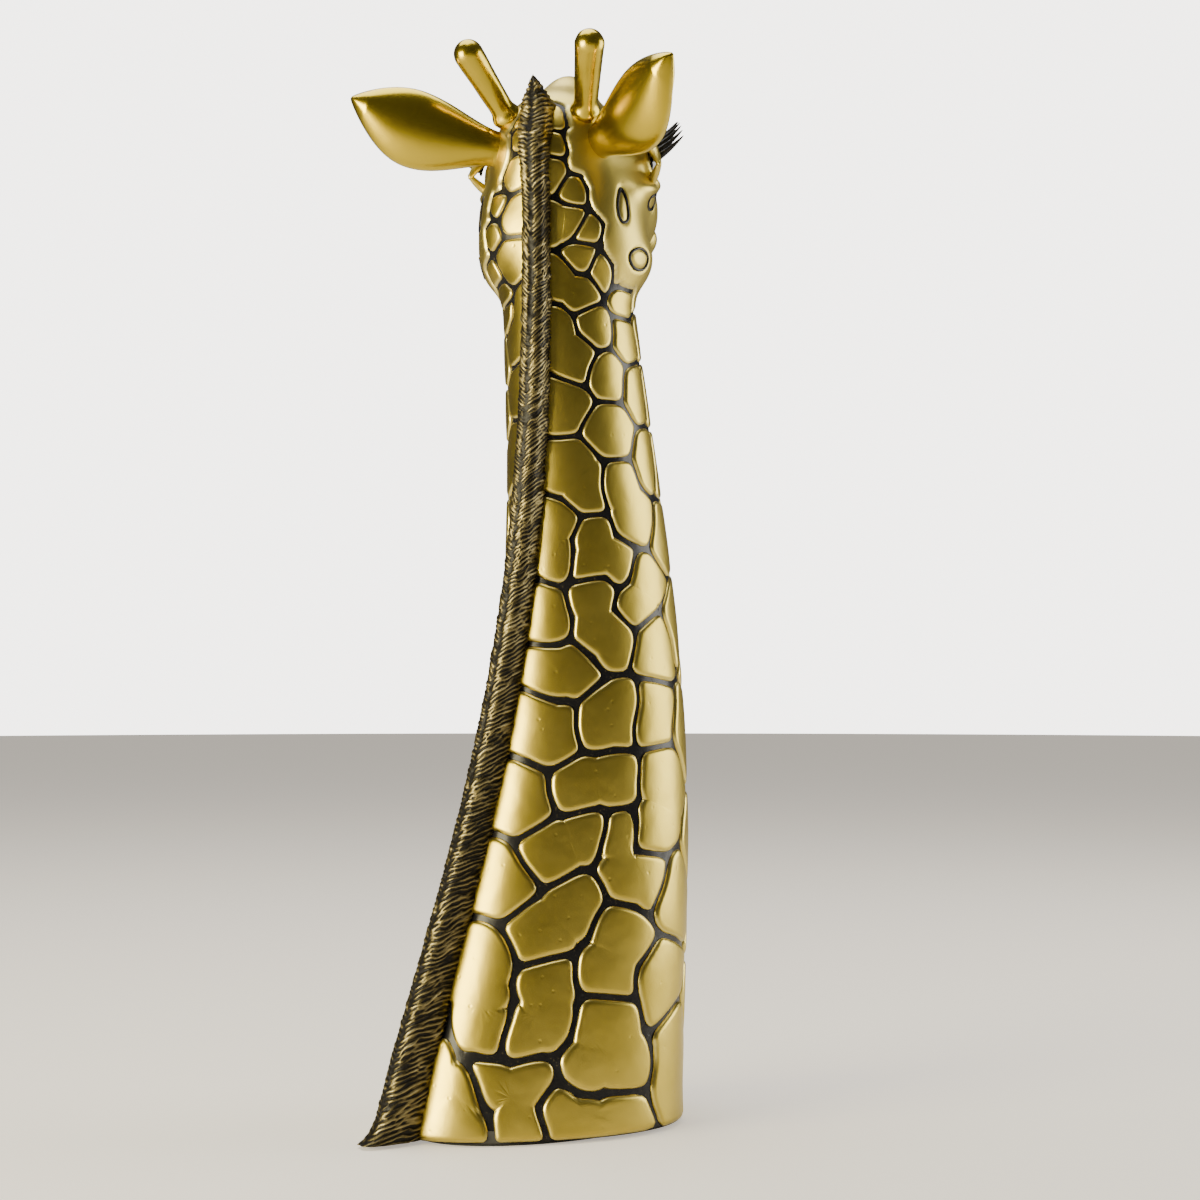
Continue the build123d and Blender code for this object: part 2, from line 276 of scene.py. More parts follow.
def closed_tube(grid, start_tip, end_tip):
    """A wrapped grid of points closed by a fan at each end, as (points, quads, triangles)."""
    rows, columns = grid.shape[:2]
    points = np.concatenate([grid.reshape(-1, 3), [start_tip], [end_tip]])
    first_ring = np.arange(columns)
    last_ring = first_ring + (rows - 1) * columns
    triangles = np.concatenate([
        fan(first_ring, rows * columns)[:, ::-1],
        fan(last_ring, rows * columns + 1),
    ])
    return points, grid_quads(rows, columns), triangles


def joined(parts):
    """Several (points, quads, triangles) as one, with the vertex numbers moved along."""
    points, quads, triangles, count = [], [], [], 0
    for some_points, some_quads, some_triangles in parts:
        points.append(some_points)
        quads.append(some_quads + count)
        triangles.append(some_triangles + count)
        count += len(some_points)
    return np.concatenate(points), np.concatenate(quads), np.concatenate(triangles)


def outward(part):
    """The same closed part with its faces turned outwards."""
    points, quads, triangles = part
    if signed_volume(points - points.mean(0), quads, triangles) < 0:
        quads, triangles = quads[:, ::-1], triangles[:, ::-1]
    return points, quads, triangles


def add_piece(name, part, material, replaced=(), values=None):
    """Puts a part into a mesh object at the origin, smooth, riding on the root body."""
    points, quads, triangles = part
    mesh = bpy.data.meshes.new(name)
    mesh.from_pydata(((points + ORIGIN) * MM).tolist(), [], quads.tolist() + triangles.tolist())
    mesh.polygons.foreach_set("use_smooth", np.ones(len(mesh.polygons), bool))
    for value_name, numbers in (values or {}).items():
        attribute = mesh.attributes.new(value_name, "FLOAT", "POINT")
        attribute.data.foreach_set("value", np.ascontiguousarray(numbers, np.float32))
    mesh.materials.append(material)
    mesh.update()
    piece = bpy.data.objects.new(name, mesh)
    bpy.context.scene.collection.objects.link(piece)
    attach(piece, "root")
    if replaced:
        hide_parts(*replaced)
    triangle_count = 2 * len(quads) + len(triangles)
    print(f"{name}: {triangle_count} triangles, volume {signed_volume(*part) / 1000:.1f} cm3")


def ripple(x, y, seed):
    """Smooth random values between -1 and 1 on a plane: hashed lattice corners, eased between."""
    x, y = np.broadcast_arrays(np.asarray(x, float), np.asarray(y, float))
    column, row = np.floor(x), np.floor(y)
    ease_x, ease_y = eased(x - column), eased(y - row)

    def corner(i, j):
        return np.modf(np.abs(np.sin(i * 127.1 + j * 311.7 + seed * 74.7) * 43758.5453))[0]

    low = corner(column, row) * (1 - ease_x) + corner(column + 1, row) * ease_x
    high = corner(column, row + 1) * (1 - ease_x) + corner(column + 1, row + 1) * ease_x
    return 2 * (low * (1 - ease_y) + high * ease_y) - 1


# %% [markdown]
# ## Finishes
# The bust is sprayed satin gold, then black is flooded into the grooves and wiped off, so a breath
# of black stays in every hollow. The rims of the pads are a paler, smoother gold: partly worn by
# the wiping, partly a painted highlight of their rounded edges. Two effects are shared, so each is
# a node group with its own inputs: the slow drift of tone with its painted rim highlights and
# wear, and the fine skin of a casting.

# %% Node group helpers
def new_group(name, inputs, outputs):
    """An empty shader node group with float or colour sockets."""
    group = bpy.data.node_groups.new(name, "ShaderNodeTree")
    for socket_name, value in inputs.items():
        kind = "NodeSocketColor" if isinstance(value, tuple) else "NodeSocketFloat"
        socket = group.interface.new_socket(socket_name, in_out="INPUT", socket_type=kind)
        socket.default_value = value
    for socket_name, kind in outputs.items():
        group.interface.new_socket(socket_name, in_out="OUTPUT", socket_type=kind)
    return group, group.nodes.new("NodeGroupInput"), group.nodes.new("NodeGroupOutput")


def add_node(tree, kind, **settings):
    """A node with its own settings, and number settings of its input sockets under 'sockets'."""
    node = tree.nodes.new("ShaderNode" + kind)
    sockets = settings.pop("sockets", {})
    for setting, value in settings.items():
        setattr(node, setting, value)
    for socket, value in sockets.items():
        node.inputs[socket].default_value = value
    return node


def mix_colour(tree, factor, first, second, blend="MIX"):
    """A colour mix node, with its three inputs linked or set."""
    node = add_node(tree, "Mix", data_type="RGBA", blend_type=blend)
    for socket, value in ((0, factor), (6, first), (7, second)):
        if isinstance(value, bpy.types.NodeSocket):
            tree.links.new(value, node.inputs[socket])
        else:
            node.inputs[socket].default_value = value
    return node.outputs[2]


def stretch(tree, value, low, high, to_low=0.0, to_high=1.0):
    """A map range node with eased ends."""
    node = add_node(tree, "MapRange", interpolation_type="SMOOTHSTEP")
    for socket, number in zip((1, 2, 3, 4), (low, high, to_low, to_high)):
        node.inputs[socket].default_value = number
    tree.links.new(value, node.inputs[0])
    return node.outputs[0]


# %% Group: drift of tone, painted rim highlights with wear, and dark hollows
def make_tone_with_rim_highlight_and_wear():
    """Colour and roughness from three golds: base, rim with painted highlight and wear, and shaded
    hollow.
    """
    group, given, out = new_group(
        "tone_with_rim_highlight_and_wear",
        {"Base": (0.5, 0.4, 0.15, 1), "Rim": (0.8, 0.7, 0.4, 1), "Hollow": (0.1, 0.08, 0.04, 1),
         "Rim Highlight And Wear": 1.0, "Drift": 0.2, "Roughness": 0.35, "Rim Roughness": 0.25},
        {"Color": "NodeSocketColor", "Roughness": "NodeSocketFloat"},
    )
    place = add_node(group, "TexCoord")
    slow = add_node(group, "TexNoise", sockets={"Scale": 38.0, "Detail": 3.0, "Roughness": 0.55})
    fine = add_node(group, "TexNoise", sockets={"Scale": 420.0, "Detail": 4.0, "Roughness": 0.6})
    # The rim attribute mixes in the Rim colour: a painted highlight along rounded edges, together
    # with wear.
    rim = add_node(group, "Attribute", attribute_name="rim")
    for noise in (slow, fine):
        group.links.new(place.outputs["Object"], noise.inputs["Vector"])
    drift = add_node(group, "Math", operation="MULTIPLY")
    group.links.new(stretch(group, slow.outputs["Fac"], 0.35, 0.7), drift.inputs[0])
    group.links.new(given.outputs["Drift"], drift.inputs[1])
    toned = mix_colour(group, drift.outputs[0], given.outputs["Base"], given.outputs["Hollow"])
    breakup = stretch(group, fine.outputs["Fac"], 0.3, 0.62, 0.55, 1.0)
    # Strength of the painted rim highlight and wear: the rim attribute times a fine breakup.
    rim_highlight_and_wear = add_node(group, "Math", operation="MULTIPLY")
    group.links.new(rim.outputs["Fac"], rim_highlight_and_wear.inputs[0])
    group.links.new(breakup, rim_highlight_and_wear.inputs[1])
    strength = add_node(group, "Math", operation="MULTIPLY", use_clamp=True)
    group.links.new(rim_highlight_and_wear.outputs[0], strength.inputs[0])
    group.links.new(given.outputs["Rim Highlight And Wear"], strength.inputs[1])
    with_rim_highlight_and_wear = mix_colour(group, strength.outputs[0], toned, given.outputs["Rim"])
    group.links.new(with_rim_highlight_and_wear, out.inputs["Color"])
    rough = add_node(group, "Mix", data_type="FLOAT")
    group.links.new(strength.outputs[0], rough.inputs[0])
    group.links.new(given.outputs["Roughness"], rough.inputs[2])
    group.links.new(given.outputs["Rim Roughness"], rough.inputs[3])
    group.links.new(rough.outputs[0], out.inputs["Roughness"])
    return group


# %% Group: the fine skin of a casting
def make_cast_skin():
    """Bump height: soft waves from hand finishing, a fine grain of spray, and rare pits."""
    group, given, out = new_group(
        "cast_skin",
        {"Waves": 1.0, "Grain": 0.3, "Pits": 0.3},
        {"Height": "NodeSocketFloat"},
    )
    place = add_node(group, "TexCoord")
    waves = add_node(group, "TexNoise", sockets={"Scale": 95.0, "Detail": 2.0})
    grain = add_node(group, "TexNoise", sockets={"Scale": 1700.0, "Detail": 3.0})
    pits = add_node(group, "TexVoronoi", sockets={"Scale": 190.0, "Randomness": 1.0})
    for texture in (waves, grain, pits):
        group.links.new(place.outputs["Object"], texture.inputs["Vector"])
    total = None
    pit_shape = stretch(group, pits.outputs["Distance"], 0.03, 0.16)
    for value, amount in ((waves.outputs["Fac"], "Waves"), (grain.outputs["Fac"], "Grain"),
                          (pit_shape, "Pits")):
        scaled = add_node(group, "Math", operation="MULTIPLY")
        group.links.new(value, scaled.inputs[0])
        group.links.new(given.outputs[amount], scaled.inputs[1])
        if total is None:
            total = scaled
            continue
        summed = add_node(group, "Math", operation="ADD")
        group.links.new(total.outputs[0], summed.inputs[0])
        group.links.new(scaled.outputs[0], summed.inputs[1])
        total = summed
    group.links.new(total.outputs[0], out.inputs["Height"])
    return group


TONE_WITH_RIM_HIGHLIGHT_AND_WEAR = make_tone_with_rim_highlight_and_wear()
CAST_SKIN = make_cast_skin()


# %% [markdown]
# ## The materials
# Gold here is paint with metal flake over resin, so it is metallic but never mirror-like on the
# hide. Ears and horns were polished: the same gold, warmer, with a tighter highlight. Groove
# black is a gloss enamel. Each material places the groups with its own numbers.

# %% Materials
def plain_material(name, colour, roughness, metallic=0.0):
    """A material with a Principled shader whose constants are on its own sockets."""
    material = bpy.data.materials.new(name)
    material.use_nodes = True
    shader = material.node_tree.nodes["Principled BSDF"]
    shader.inputs["Base Color"].default_value = colour
    shader.inputs["Roughness"].default_value = roughness
    shader.inputs["Metallic"].default_value = metallic
    return material, material.node_tree, shader


def place_group(tree, group, numbers):
    """A group node with its inputs set."""
    node = tree.nodes.new("ShaderNodeGroup")
    node.node_tree = group
    for socket, value in numbers.items():
        node.inputs[socket].default_value = value
    return node


def add_bump(tree, shader, height, strength, distance):
    """A bump node into the shader's normal."""
    bump = add_node(tree, "Bump", sockets={"Strength": strength, "Distance": distance})
    tree.links.new(height, bump.inputs["Height"])
    tree.links.new(bump.outputs["Normal"], shader.inputs["Normal"])


def gold_material(name, tone, skin, bump=0.5):
    """Metallic gold from the two shared groups."""
    material, tree, shader = plain_material(name, tone["Base"], 0.35, 1.0)
    toned = place_group(tree, TONE_WITH_RIM_HIGHLIGHT_AND_WEAR, tone)
    tree.links.new(toned.outputs["Color"], shader.inputs["Base Color"])
    tree.links.new(toned.outputs["Roughness"], shader.inputs["Roughness"])
    surface = place_group(tree, CAST_SKIN, skin)
    add_bump(tree, shader, surface.outputs["Height"], bump, 0.0004)
    return material


# Rim is the paler gold of a painted highlight and wear along the edges, mixed in where the rim
# attribute is high.
SATIN_GOLD = gold_material(
    "satin_gold",
    {"Base": (0.58, 0.45, 0.08, 1), "Rim": (0.95, 0.84, 0.36, 1), "Hollow": (0.44, 0.33, 0.04, 1),
     "Rim Highlight And Wear": 0.45, "Drift": 0.5, "Roughness": 0.33, "Rim Roughness": 0.26},
    {"Waves": 1.0, "Grain": 0.12, "Pits": 0.25},
)
FACE_GOLD = gold_material(
    "face_gold",
    {"Base": (0.60, 0.48, 0.11, 1), "Rim": (0.92, 0.82, 0.4, 1), "Hollow": (0.48, 0.38, 0.07, 1),
     "Rim Highlight And Wear": 0.6, "Drift": 0.5, "Roughness": 0.38, "Rim Roughness": 0.28},
    {"Waves": 0.8, "Grain": 0.15, "Pits": 0.1},
)
BRIGHT_GOLD = gold_material(
    "bright_gold",
    {"Base": (0.55, 0.41, 0.04, 1), "Rim": (0.88, 0.74, 0.25, 1), "Hollow": (0.45, 0.33, 0.025, 1),
     "Rim Highlight And Wear": 0.4, "Drift": 0.3, "Roughness": 0.25, "Rim Roughness": 0.22},
    {"Waves": 0.5, "Grain": 0.06, "Pits": 0.0},
)


def make_groove_black():
    """Gloss black enamel with a faint dusting of gold and an uneven flow."""
    material, tree, shader = plain_material("groove_black", (0.012, 0.012, 0.013, 1), 0.24)
    shader.inputs["Specular IOR Level"].default_value = 0.25
    place = add_node(tree, "TexCoord")
    dust = add_node(tree, "TexNoise", sockets={"Scale": 900.0, "Detail": 3.0})
    tree.links.new(place.outputs["Object"], dust.inputs["Vector"])
    speck = stretch(tree, dust.outputs["Fac"], 0.62, 0.75)
    colour = mix_colour(tree, speck, (0.010, 0.010, 0.012, 1), (0.06, 0.05, 0.03, 1))
    tree.links.new(colour, shader.inputs["Base Color"])
    surface = place_group(tree, CAST_SKIN, {"Waves": 2.0, "Grain": 0.1, "Pits": 0.2})
    add_bump(tree, shader, surface.outputs["Height"], 0.5, 0.0005)
    return material


def make_mane_gold():
    """Antique gold on the ridges of the hair, black in its valleys, by the ridge attribute."""
    material, tree, shader = plain_material("mane_gold", (0.4, 0.34, 0.2, 1), 0.42, 1.0)
    shader.inputs["Specular IOR Level"].default_value = 0.2
    ridge = add_node(tree, "Attribute", attribute_name="ridge")
    place = add_node(tree, "TexCoord")
    wear = add_node(tree, "TexNoise", sockets={"Scale": 160.0, "Detail": 4.0})
    tree.links.new(place.outputs["Object"], wear.inputs["Vector"])
    shifted = add_node(tree, "Math", operation="MULTIPLY_ADD")
    tree.links.new(wear.outputs["Fac"], shifted.inputs[0])
    shifted.inputs[1].default_value = 0.5
    tree.links.new(ridge.outputs["Fac"], shifted.inputs[2])
    mask = stretch(tree, shifted.outputs[0], 0.62, 1.02)
    high = stretch(tree, shifted.outputs[0], 0.95, 1.3)
    body = mix_colour(tree, mask, (0.010, 0.009, 0.008, 1), (0.27, 0.22, 0.10, 1))
    colour = mix_colour(tree, high, body, (0.66, 0.58, 0.32, 1))
    tree.links.new(colour, shader.inputs["Base Color"])
    tree.links.new(stretch(tree, shifted.outputs[0], 0.5, 0.8), shader.inputs["Metallic"])
    surface = place_group(tree, CAST_SKIN, {"Waves": 0.3, "Grain": 0.5, "Pits": 0.3})
    add_bump(tree, shader, surface.outputs["Height"], 0.5, 0.0003)
    return material


GROOVE_BLACK = make_groove_black()
MANE_GOLD = make_mane_gold()
EYE_BLACK, _, eye_shader = plain_material("eye_black", (0.006, 0.006, 0.007, 1), 0.06)
eye_shader.inputs["Coat Weight"].default_value = 1.0
eye_shader.inputs["Coat Roughness"].default_value = 0.03
print("materials:", ", ".join(m.name for m in bpy.data.materials))

# %% [markdown]
# ## Seeds of the hide
# On the real casting each pad is a polygon with soft corners, and neighbours keep an even
# groove between them. Cells around seed points do the same: a point belongs to its nearest
# seed, and the groove follows the line half way between two seeds. A pad with a bent outline
# has two seeds or more. A seed is (height, degrees round from the nape); a plus angle is the
# giraffe's right. The right flank's seeds are listed one by one, and the left flank is their
# mirror, moved up a little.

# %% Seed lists
RIGHT_FLANK = [
    [(17, 20), (6, 21), (28, 4)], [(20, 28), (19, 45), (6, 44)], [(8, 82), (8, 100), (9, 69)],
    [(17, 138), (30, 142)],
    [(59, 16), (49, 17), (38, 17), (36, 25)], [(52, 47), (40, 49), (35, 38)],
    [(39, 86), (21, 82), (21, 100)], [(50, 125)],
    [(68, 90), (55, 82)], [(68, 40), (78, 58)], [(87, 18)], [(80, 130)],
    [(97, 38), (103, 58)], [(102, 82), (88, 90), (88, 106)], [(113, 18)], [(117, 49), (119, 72)],
    [(121, 110), (102, 105)], [(141, 18), (138, 28)], [(142, 57), (143, 70)], [(142, 100)],
    [(158, 34), (157, 22)], [(177, 16)], [(184, 44), (172, 50), (170, 61)], [(168, 100)],
    [(190, 90), (182, 80)], [(208, 19), (199, 19)], [(204, 40), (196, 40), (196, 62)], [(207, 118)],
    [(222, 63), (212, 76), (212, 86)], [(228, 22), (220, 36)], [(232, 102)],
    [(250, 18)], [(242, 57)], [(262, 56)], [(257, 92)],
    [(277, 13), (267, 27)], [(278, 46)], [(275, 82)], [(290, 82)],
    [(294, 16), (290, 34)], [(298, 52)], [(302, 34)],
]
RIGHT_HEAD = [
    [(311, 39)], [(314, 14), (314, 26)], [(325, 29)], [(331, 11)], [(342, 14)], [(350, 15)],
]
LEFT_HEAD = [
    [(289, -50)], [(303, -30)], [(300, -60)], [(312, -47)], [(317, -22)], [(323, -44)],
    [(333, -25)], [(344, -21)], [(352, -20)],
]
CHEST = [
    [(9, 170)], [(38, 162)], [(68, 172)], [(97, 158)], [(128, 172)], [(138, 142)], [(160, 160)],
    [(176, 135)], [(190, 170)], [(216, 158)], [(232, 130)], [(242, 168)], [(258, 126)],
    [(266, 156)], [(280, 116)], [(286, 145)],
]
MIRROR_SHIFT, CHEST_SHIFT = 7.0, 4.0
MIRROR_TOP = 285


def mirrored(cells, shift):
    """The same cells on the other side of the neck, moved up by shift."""
    return [[(height + shift, -around) for height, around in cell] for cell in cells]


def on_skin(seeds):
    """Points of the skin at (height, degrees from the nape) seeds, by level rays."""
    seeds = np.array(seeds, float)
    x, y, turn, *_ = neck_line(seeds[:, 0])
    front, right = level_axes(turn)
    around = np.radians(seeds[:, 1])[:, None]
    starts = np.stack([x, y, seeds[:, 0]], -1)
    return skin_along(starts, -front * np.cos(around) + right * np.sin(around))


left_flank = mirrored([cell for cell in RIGHT_FLANK if cell[0][0] < MIRROR_TOP], MIRROR_SHIFT)
left_chest = mirrored(CHEST, CHEST_SHIFT)
hide_cells = RIGHT_FLANK + RIGHT_HEAD + LEFT_HEAD + left_flank + CHEST + left_chest
cell_seeds = [on_skin(cell) for cell in hide_cells]
print(len(hide_cells), "pads from", sum(map(len, hide_cells)), "seeds")

# %% [markdown]
# The face is one more cell. Its seeds run along the jaw and cheek on both sides, each set
# forward of the pads it faces, so the same half-way rule draws the line of the jaw. The other
# seeds of the face are (forward, right, up) from the top of the neck.

# %% Face seeds
JAW_LINE = [
    (352, 30), (343, 29), (336, 35), (330, 47), (324, 50), (318, 55), (312, 60), (304, 63),
    (299, 71), (295, 84),
]
FACE_SIDE = [
    (-15, 9, 24), (-10, 22, 2), (-6, 26, -12), (-2, 28, -24), (2, 28, -36), (9, 26, -42),
    (17, 20, -42), (10, 30, -12), (8, 30, -26), (22, 24, -26), (20, 16, -38), (34, 14, -30),
    (14, 24, 8), (0, 22, 20), (28, 26, -10), (50, 15, -18), (36, 13, -4),
]
FACE_MIDDLE = [
    (-16, 0, 30), (0, 0, 32), (16, 0, 38), (30, 0, 22), (46, 0, 6), (64, 0, -10), (68, 0, -24),
    (54, 0, -33), (40, 0, -33), (30, 0, -34), (25, 0, -44), (24, 8, -44), (24, -8, -44),
]
face_places = FACE_MIDDLE + FACE_SIDE + [(f, -r, u) for f, r, u in FACE_SIDE]
jaw_seeds = on_skin(JAW_LINE + [(height, -around) for height, around in JAW_LINE])
face_seeds = np.concatenate([settle(from_head(face_places), 3), jaw_seeds])
SEEDS = np.concatenate(cell_seeds + [face_seeds])
SEED_CELL = np.concatenate([np.full(len(s), i) for i, s in enumerate(cell_seeds + [face_seeds])])
FACE_CELL = len(cell_seeds)
print(len(SEEDS), "seeds in all")

# %% [markdown]
# ## Distance to the groove's middle line
# For a point of one cell, the distance to the plane half way to a foreign seed is
# (far squared - near squared) / (2 x the gap between the seeds). A soft minimum over all foreign
# seeds rounds the corners, and a slow wave added to the point bends the straight sides.

# %% Groove distance
WAVE_SIZE = 21.0
WAVE_DEPTH = 0.8


def waved(points):
    """Points moved by slow sines, so that straight sides turn into hand-drawn ones."""
    turned = points[..., [1, 2, 0]] / WAVE_SIZE
    return points + WAVE_DEPTH * np.sin(turned * 2 * np.pi + 1.3)


WAVED_SEEDS = waved(SEEDS)


def groove_distance(points, cells, corner):
    """Distance from each point of a cell to the middle of the nearest groove, corners rounded."""
    shape = points.shape[:-1]
    flat, owner = waved(points.reshape(-1, 3)), np.broadcast_to(cells, shape).reshape(-1)
    result = np.empty(len(flat))
    corner = np.broadcast_to(corner, shape).reshape(-1)
    for part in np.array_split(np.arange(len(flat)), max(1, len(flat) // 20000)):
        square = ((flat[part, None] - WAVED_SEEDS) ** 2).sum(-1)
        own = SEED_CELL[None] == owner[part, None]
        nearest = np.where(own, square, np.inf).argmin(1)
        near = square[np.arange(len(part)), nearest][:, None]
        between = np.linalg.norm(WAVED_SEEDS[nearest][:, None] - WAVED_SEEDS[None], axis=-1)
        gap = np.where(own, 1e3, (square - near) / (2 * np.maximum(between, 1e-3)))
        least = gap.min(1)
        softness = corner[part]
        melted = np.exp(-np.minimum((gap - least[:, None]) / softness[:, None], 50)).sum(1)
        result[part] = least - softness * np.log(melted)
    return result.reshape(shape)


def along_height(points, low_value, high_value):
    """A value that eases from the foot of the neck to the skull."""
    share = np.clip(points[..., 2] / NECK_HEIGHT, 0, 1)
    return low_value + (high_value - low_value) * share


def half_groove(points):
    """Half the width of the groove's floor."""
    return along_height(points, 0.98, 0.52)


def groove_depth(points):
    """Depth of the groove's floor below the tops of the pads."""
    return along_height(points, 1.5, 0.9)


def pad_level(points, inside):
    """Height of a pad: a quarter circle up from its outline, then a slight crown."""
    depth = groove_depth(points)
    edge = np.clip(inside / along_height(points, 1.9, 1.1), 0, 1)
    shoulder = np.sqrt(1 - (1 - edge) ** 2.0)
    crown = 0.35 * (1 - np.exp(-np.maximum(inside, 0) / 7.0))
    return depth * (shoulder - 1) + crown


# %% [markdown]
# ## Ground of the grooves
# Under the pads lies one black skin of the whole neck and head. It is swept as rings: level
# rings up the neck, then rings in planes that fan about a line in front of the throat, over the
# skull and down to the muzzle. Rays from the middle of each ring find the skin.

# %% Rings over the neck and head
PIVOT_FORWARD, PIVOT_UP = 42.0, -52.0
PIVOT_HEIGHT = NECK_HEIGHT + PIVOT_UP


def fan_rings(angles):
    """Ring middles and in-plane axes for planes at angles about the throat line."""
    out = np.stack([-np.cos(angles), 0 * angles, np.sin(angles)], -1)
    pivot = np.array([PIVOT_FORWARD, 0, PIVOT_UP])
    distances = np.linspace(8, 110, 205)
    inside = form(from_head(pivot + out[:, None] * distances[:, None])) < 0
    weight = inside.sum(1)
    mean = (inside * distances).sum(1) / np.maximum(weight, 1)
    return from_head(pivot + out * mean[:, None]), out @ HEAD_AXES, weight


def last_fan_angle():
    """The angle at which the fanning plane only just touches the muzzle."""
    angles = np.radians(np.linspace(100, 175, 301))
    _, _, weight = fan_rings(angles)
    return angles[np.nonzero(weight > 0)[0].max()]


LAST_ANGLE = last_fan_angle()
print("fan ends at", round(float(np.degrees(LAST_ANGLE)), 1), "degrees")


def head_rings(rings, columns):
    """Skin points of rings from the throat's level plane to the muzzle, and the muzzle's tip."""
    share = np.linspace(0, 1, rings + 1)[:-1]
    angles = LAST_ANGLE * (0.62 * share + 0.38 * np.sin(share * np.pi / 2))
    middles, out, _ = fan_rings(angles)
    turn = np.linspace(0, 2 * np.pi, columns, endpoint=False)[None, :, None]
    directions = out[:, None] * np.cos(turn) + HEAD_RIGHT * np.sin(turn)
    grid = skin_along(middles[:, None], directions)
    tip = settle(grid[-1].mean(0)[None], 3)[0]
    return grid, tip


def neck_rings(heights, columns):
    """Skin points of level rings at the given heights."""
    x, y, turn, *_ = neck_line(heights)
    front, right = level_axes(turn)
    around = np.linspace(0, 2 * np.pi, columns, endpoint=False)[None, :, None]
    directions = -front[:, None] * np.cos(around) + right[:, None] * np.sin(around)
    return skin_along(np.stack([x, y, heights], -1)[:, None], directions)


def raised(points, level):
    """Points moved along the skin's outward normal by level."""
    return points + unit(slope_of(points)) * np.asarray(level)[..., None]


# %% Build the ground
GROUND_LIFT = 0.18
ground_columns = 132
neck_part = neck_rings(np.linspace(0.0, PIVOT_HEIGHT - 2, 120), ground_columns)
head_part, muzzle_tip = head_rings(78, ground_columns)
ground_skin = np.concatenate([neck_part, head_part])
ground = raised(ground_skin, GROUND_LIFT - groove_depth(ground_skin))
ground[0, :, 2] = 0
foot_middle = np.array([0, -FOOT_FORWARD, 0.0])
ground_part = outward(closed_tube(ground, foot_middle, muzzle_tip - HEAD_FRONT))
add_piece("groove_ground", ground_part, GROOVE_BLACK)

# %% [markdown]
# ## The pads
# Each pad is a polar grid. From its middle, paths walk outwards over the skin in all directions;
# where a path comes within half a groove of the cell's border, the outline lies. Rings between
# the middle and the outline are close together near the edge, where the shoulder curves. All
# pads are worked out at once as one array of (pad, direction, step).

# %% Walk from the middles to the outlines
DIRECTIONS = 96
STEP, STEPS = 0.8, 48
FOOT_CLEARANCE = 0.3
SMOOTHING_PASSES = 3


def walk_out(middles):
    """Paths over the skin: each step goes along the tangent and is settled once."""
    normals = unit(slope_of(middles))
    side = unit(np.cross(normals, [0.0, 0.0, 1.0]))
    up = np.cross(side, normals)
    angle = np.linspace(0, 2 * np.pi, DIRECTIONS, endpoint=False)[None, :, None]
    heading = side[:, None] * np.cos(angle) + up[:, None] * np.sin(angle)
    at = np.repeat(middles[:, None], DIRECTIONS, axis=1)
    path = [at]
    for _ in range(STEPS):
        slope = slope_of(at)
        normal = unit(slope)
        heading = unit(heading - normal * (heading * normal).sum(-1, keepdims=True))
        at = at + heading * STEP
        at = at - slope * (form(at) / (slope ** 2).sum(-1))[..., None]
        path.append(at)
    return np.stack(path, 2)


def corner_of(points):
    """Corner softness, from the foot to the skull."""
    return along_height(points, 1.05, 0.7)


def inside_of(points, cells):
    """Distance inside the pad's outline, where the foot plane also ends a pad."""
    free = groove_distance(points, cells, corner_of(points)) - half_groove(points)
    return np.minimum(free, points[..., 2] - FOOT_CLEARANCE)


middles = settle(np.stack([seeds.mean(0) for seeds in cell_seeds]), 3)
cell_numbers = np.arange(FACE_CELL)
paths = walk_out(middles)
inside = inside_of(paths, cell_numbers[:, None, None])
outside = inside < 0
outside[:, :, -1] = True
first = outside.argmax(-1)
before = np.maximum(first - 1, 0)
take = np.take_along_axis
high = take(inside, before[..., None], -1)[..., 0]
low = take(inside, first[..., None], -1)[..., 0]
outline = before + np.clip(high / np.maximum(high - low, 1e-6), 0, 1)
outline = np.where(first == 0, 0, outline) * STEP
for _ in range(SMOOTHING_PASSES):
    outline = 0.5 * outline + 0.25 * (np.roll(outline, 1, 1) + np.roll(outline, -1, 1))
print("outlines reach", outline.min(1).round(1).min(), "to", outline.max().round(1), "mm")

# %% Rings of each pad
INNER_SHARES = np.array([0.0, 0.22, 0.44, 0.64, 0.8, 0.91, 1.0])
EDGE_STEPS = np.array([2.4, 1.8, 1.3, 0.9, 0.6, 0.38, 0.2, 0.08, 0.0])
SKIRT_DEPTH, LOW_TIP_DEPTH = 1.0, 3.2
LEAST_REACH = 0.8


def pad_rings(paths, outline):
    """Points on rings: shares of the way to the edge zone, then fixed steps from the outline."""
    zone = np.minimum(EDGE_STEPS[0], outline * 0.5)
    inner = (outline - zone)[..., None] * INNER_SHARES[1:]
    edge = outline[..., None] - zone[..., None] * (EDGE_STEPS[1:] / EDGE_STEPS[0])
    reach = np.concatenate([inner, edge], -1) / STEP
    lower = np.clip(np.floor(reach).astype(int), 0, STEPS - 1)
    part = (reach - lower)[..., None]
    start = take(paths, lower[..., None], 2)
    end = take(paths, lower[..., None] + 1, 2)
    return start * (1 - part) + end * part


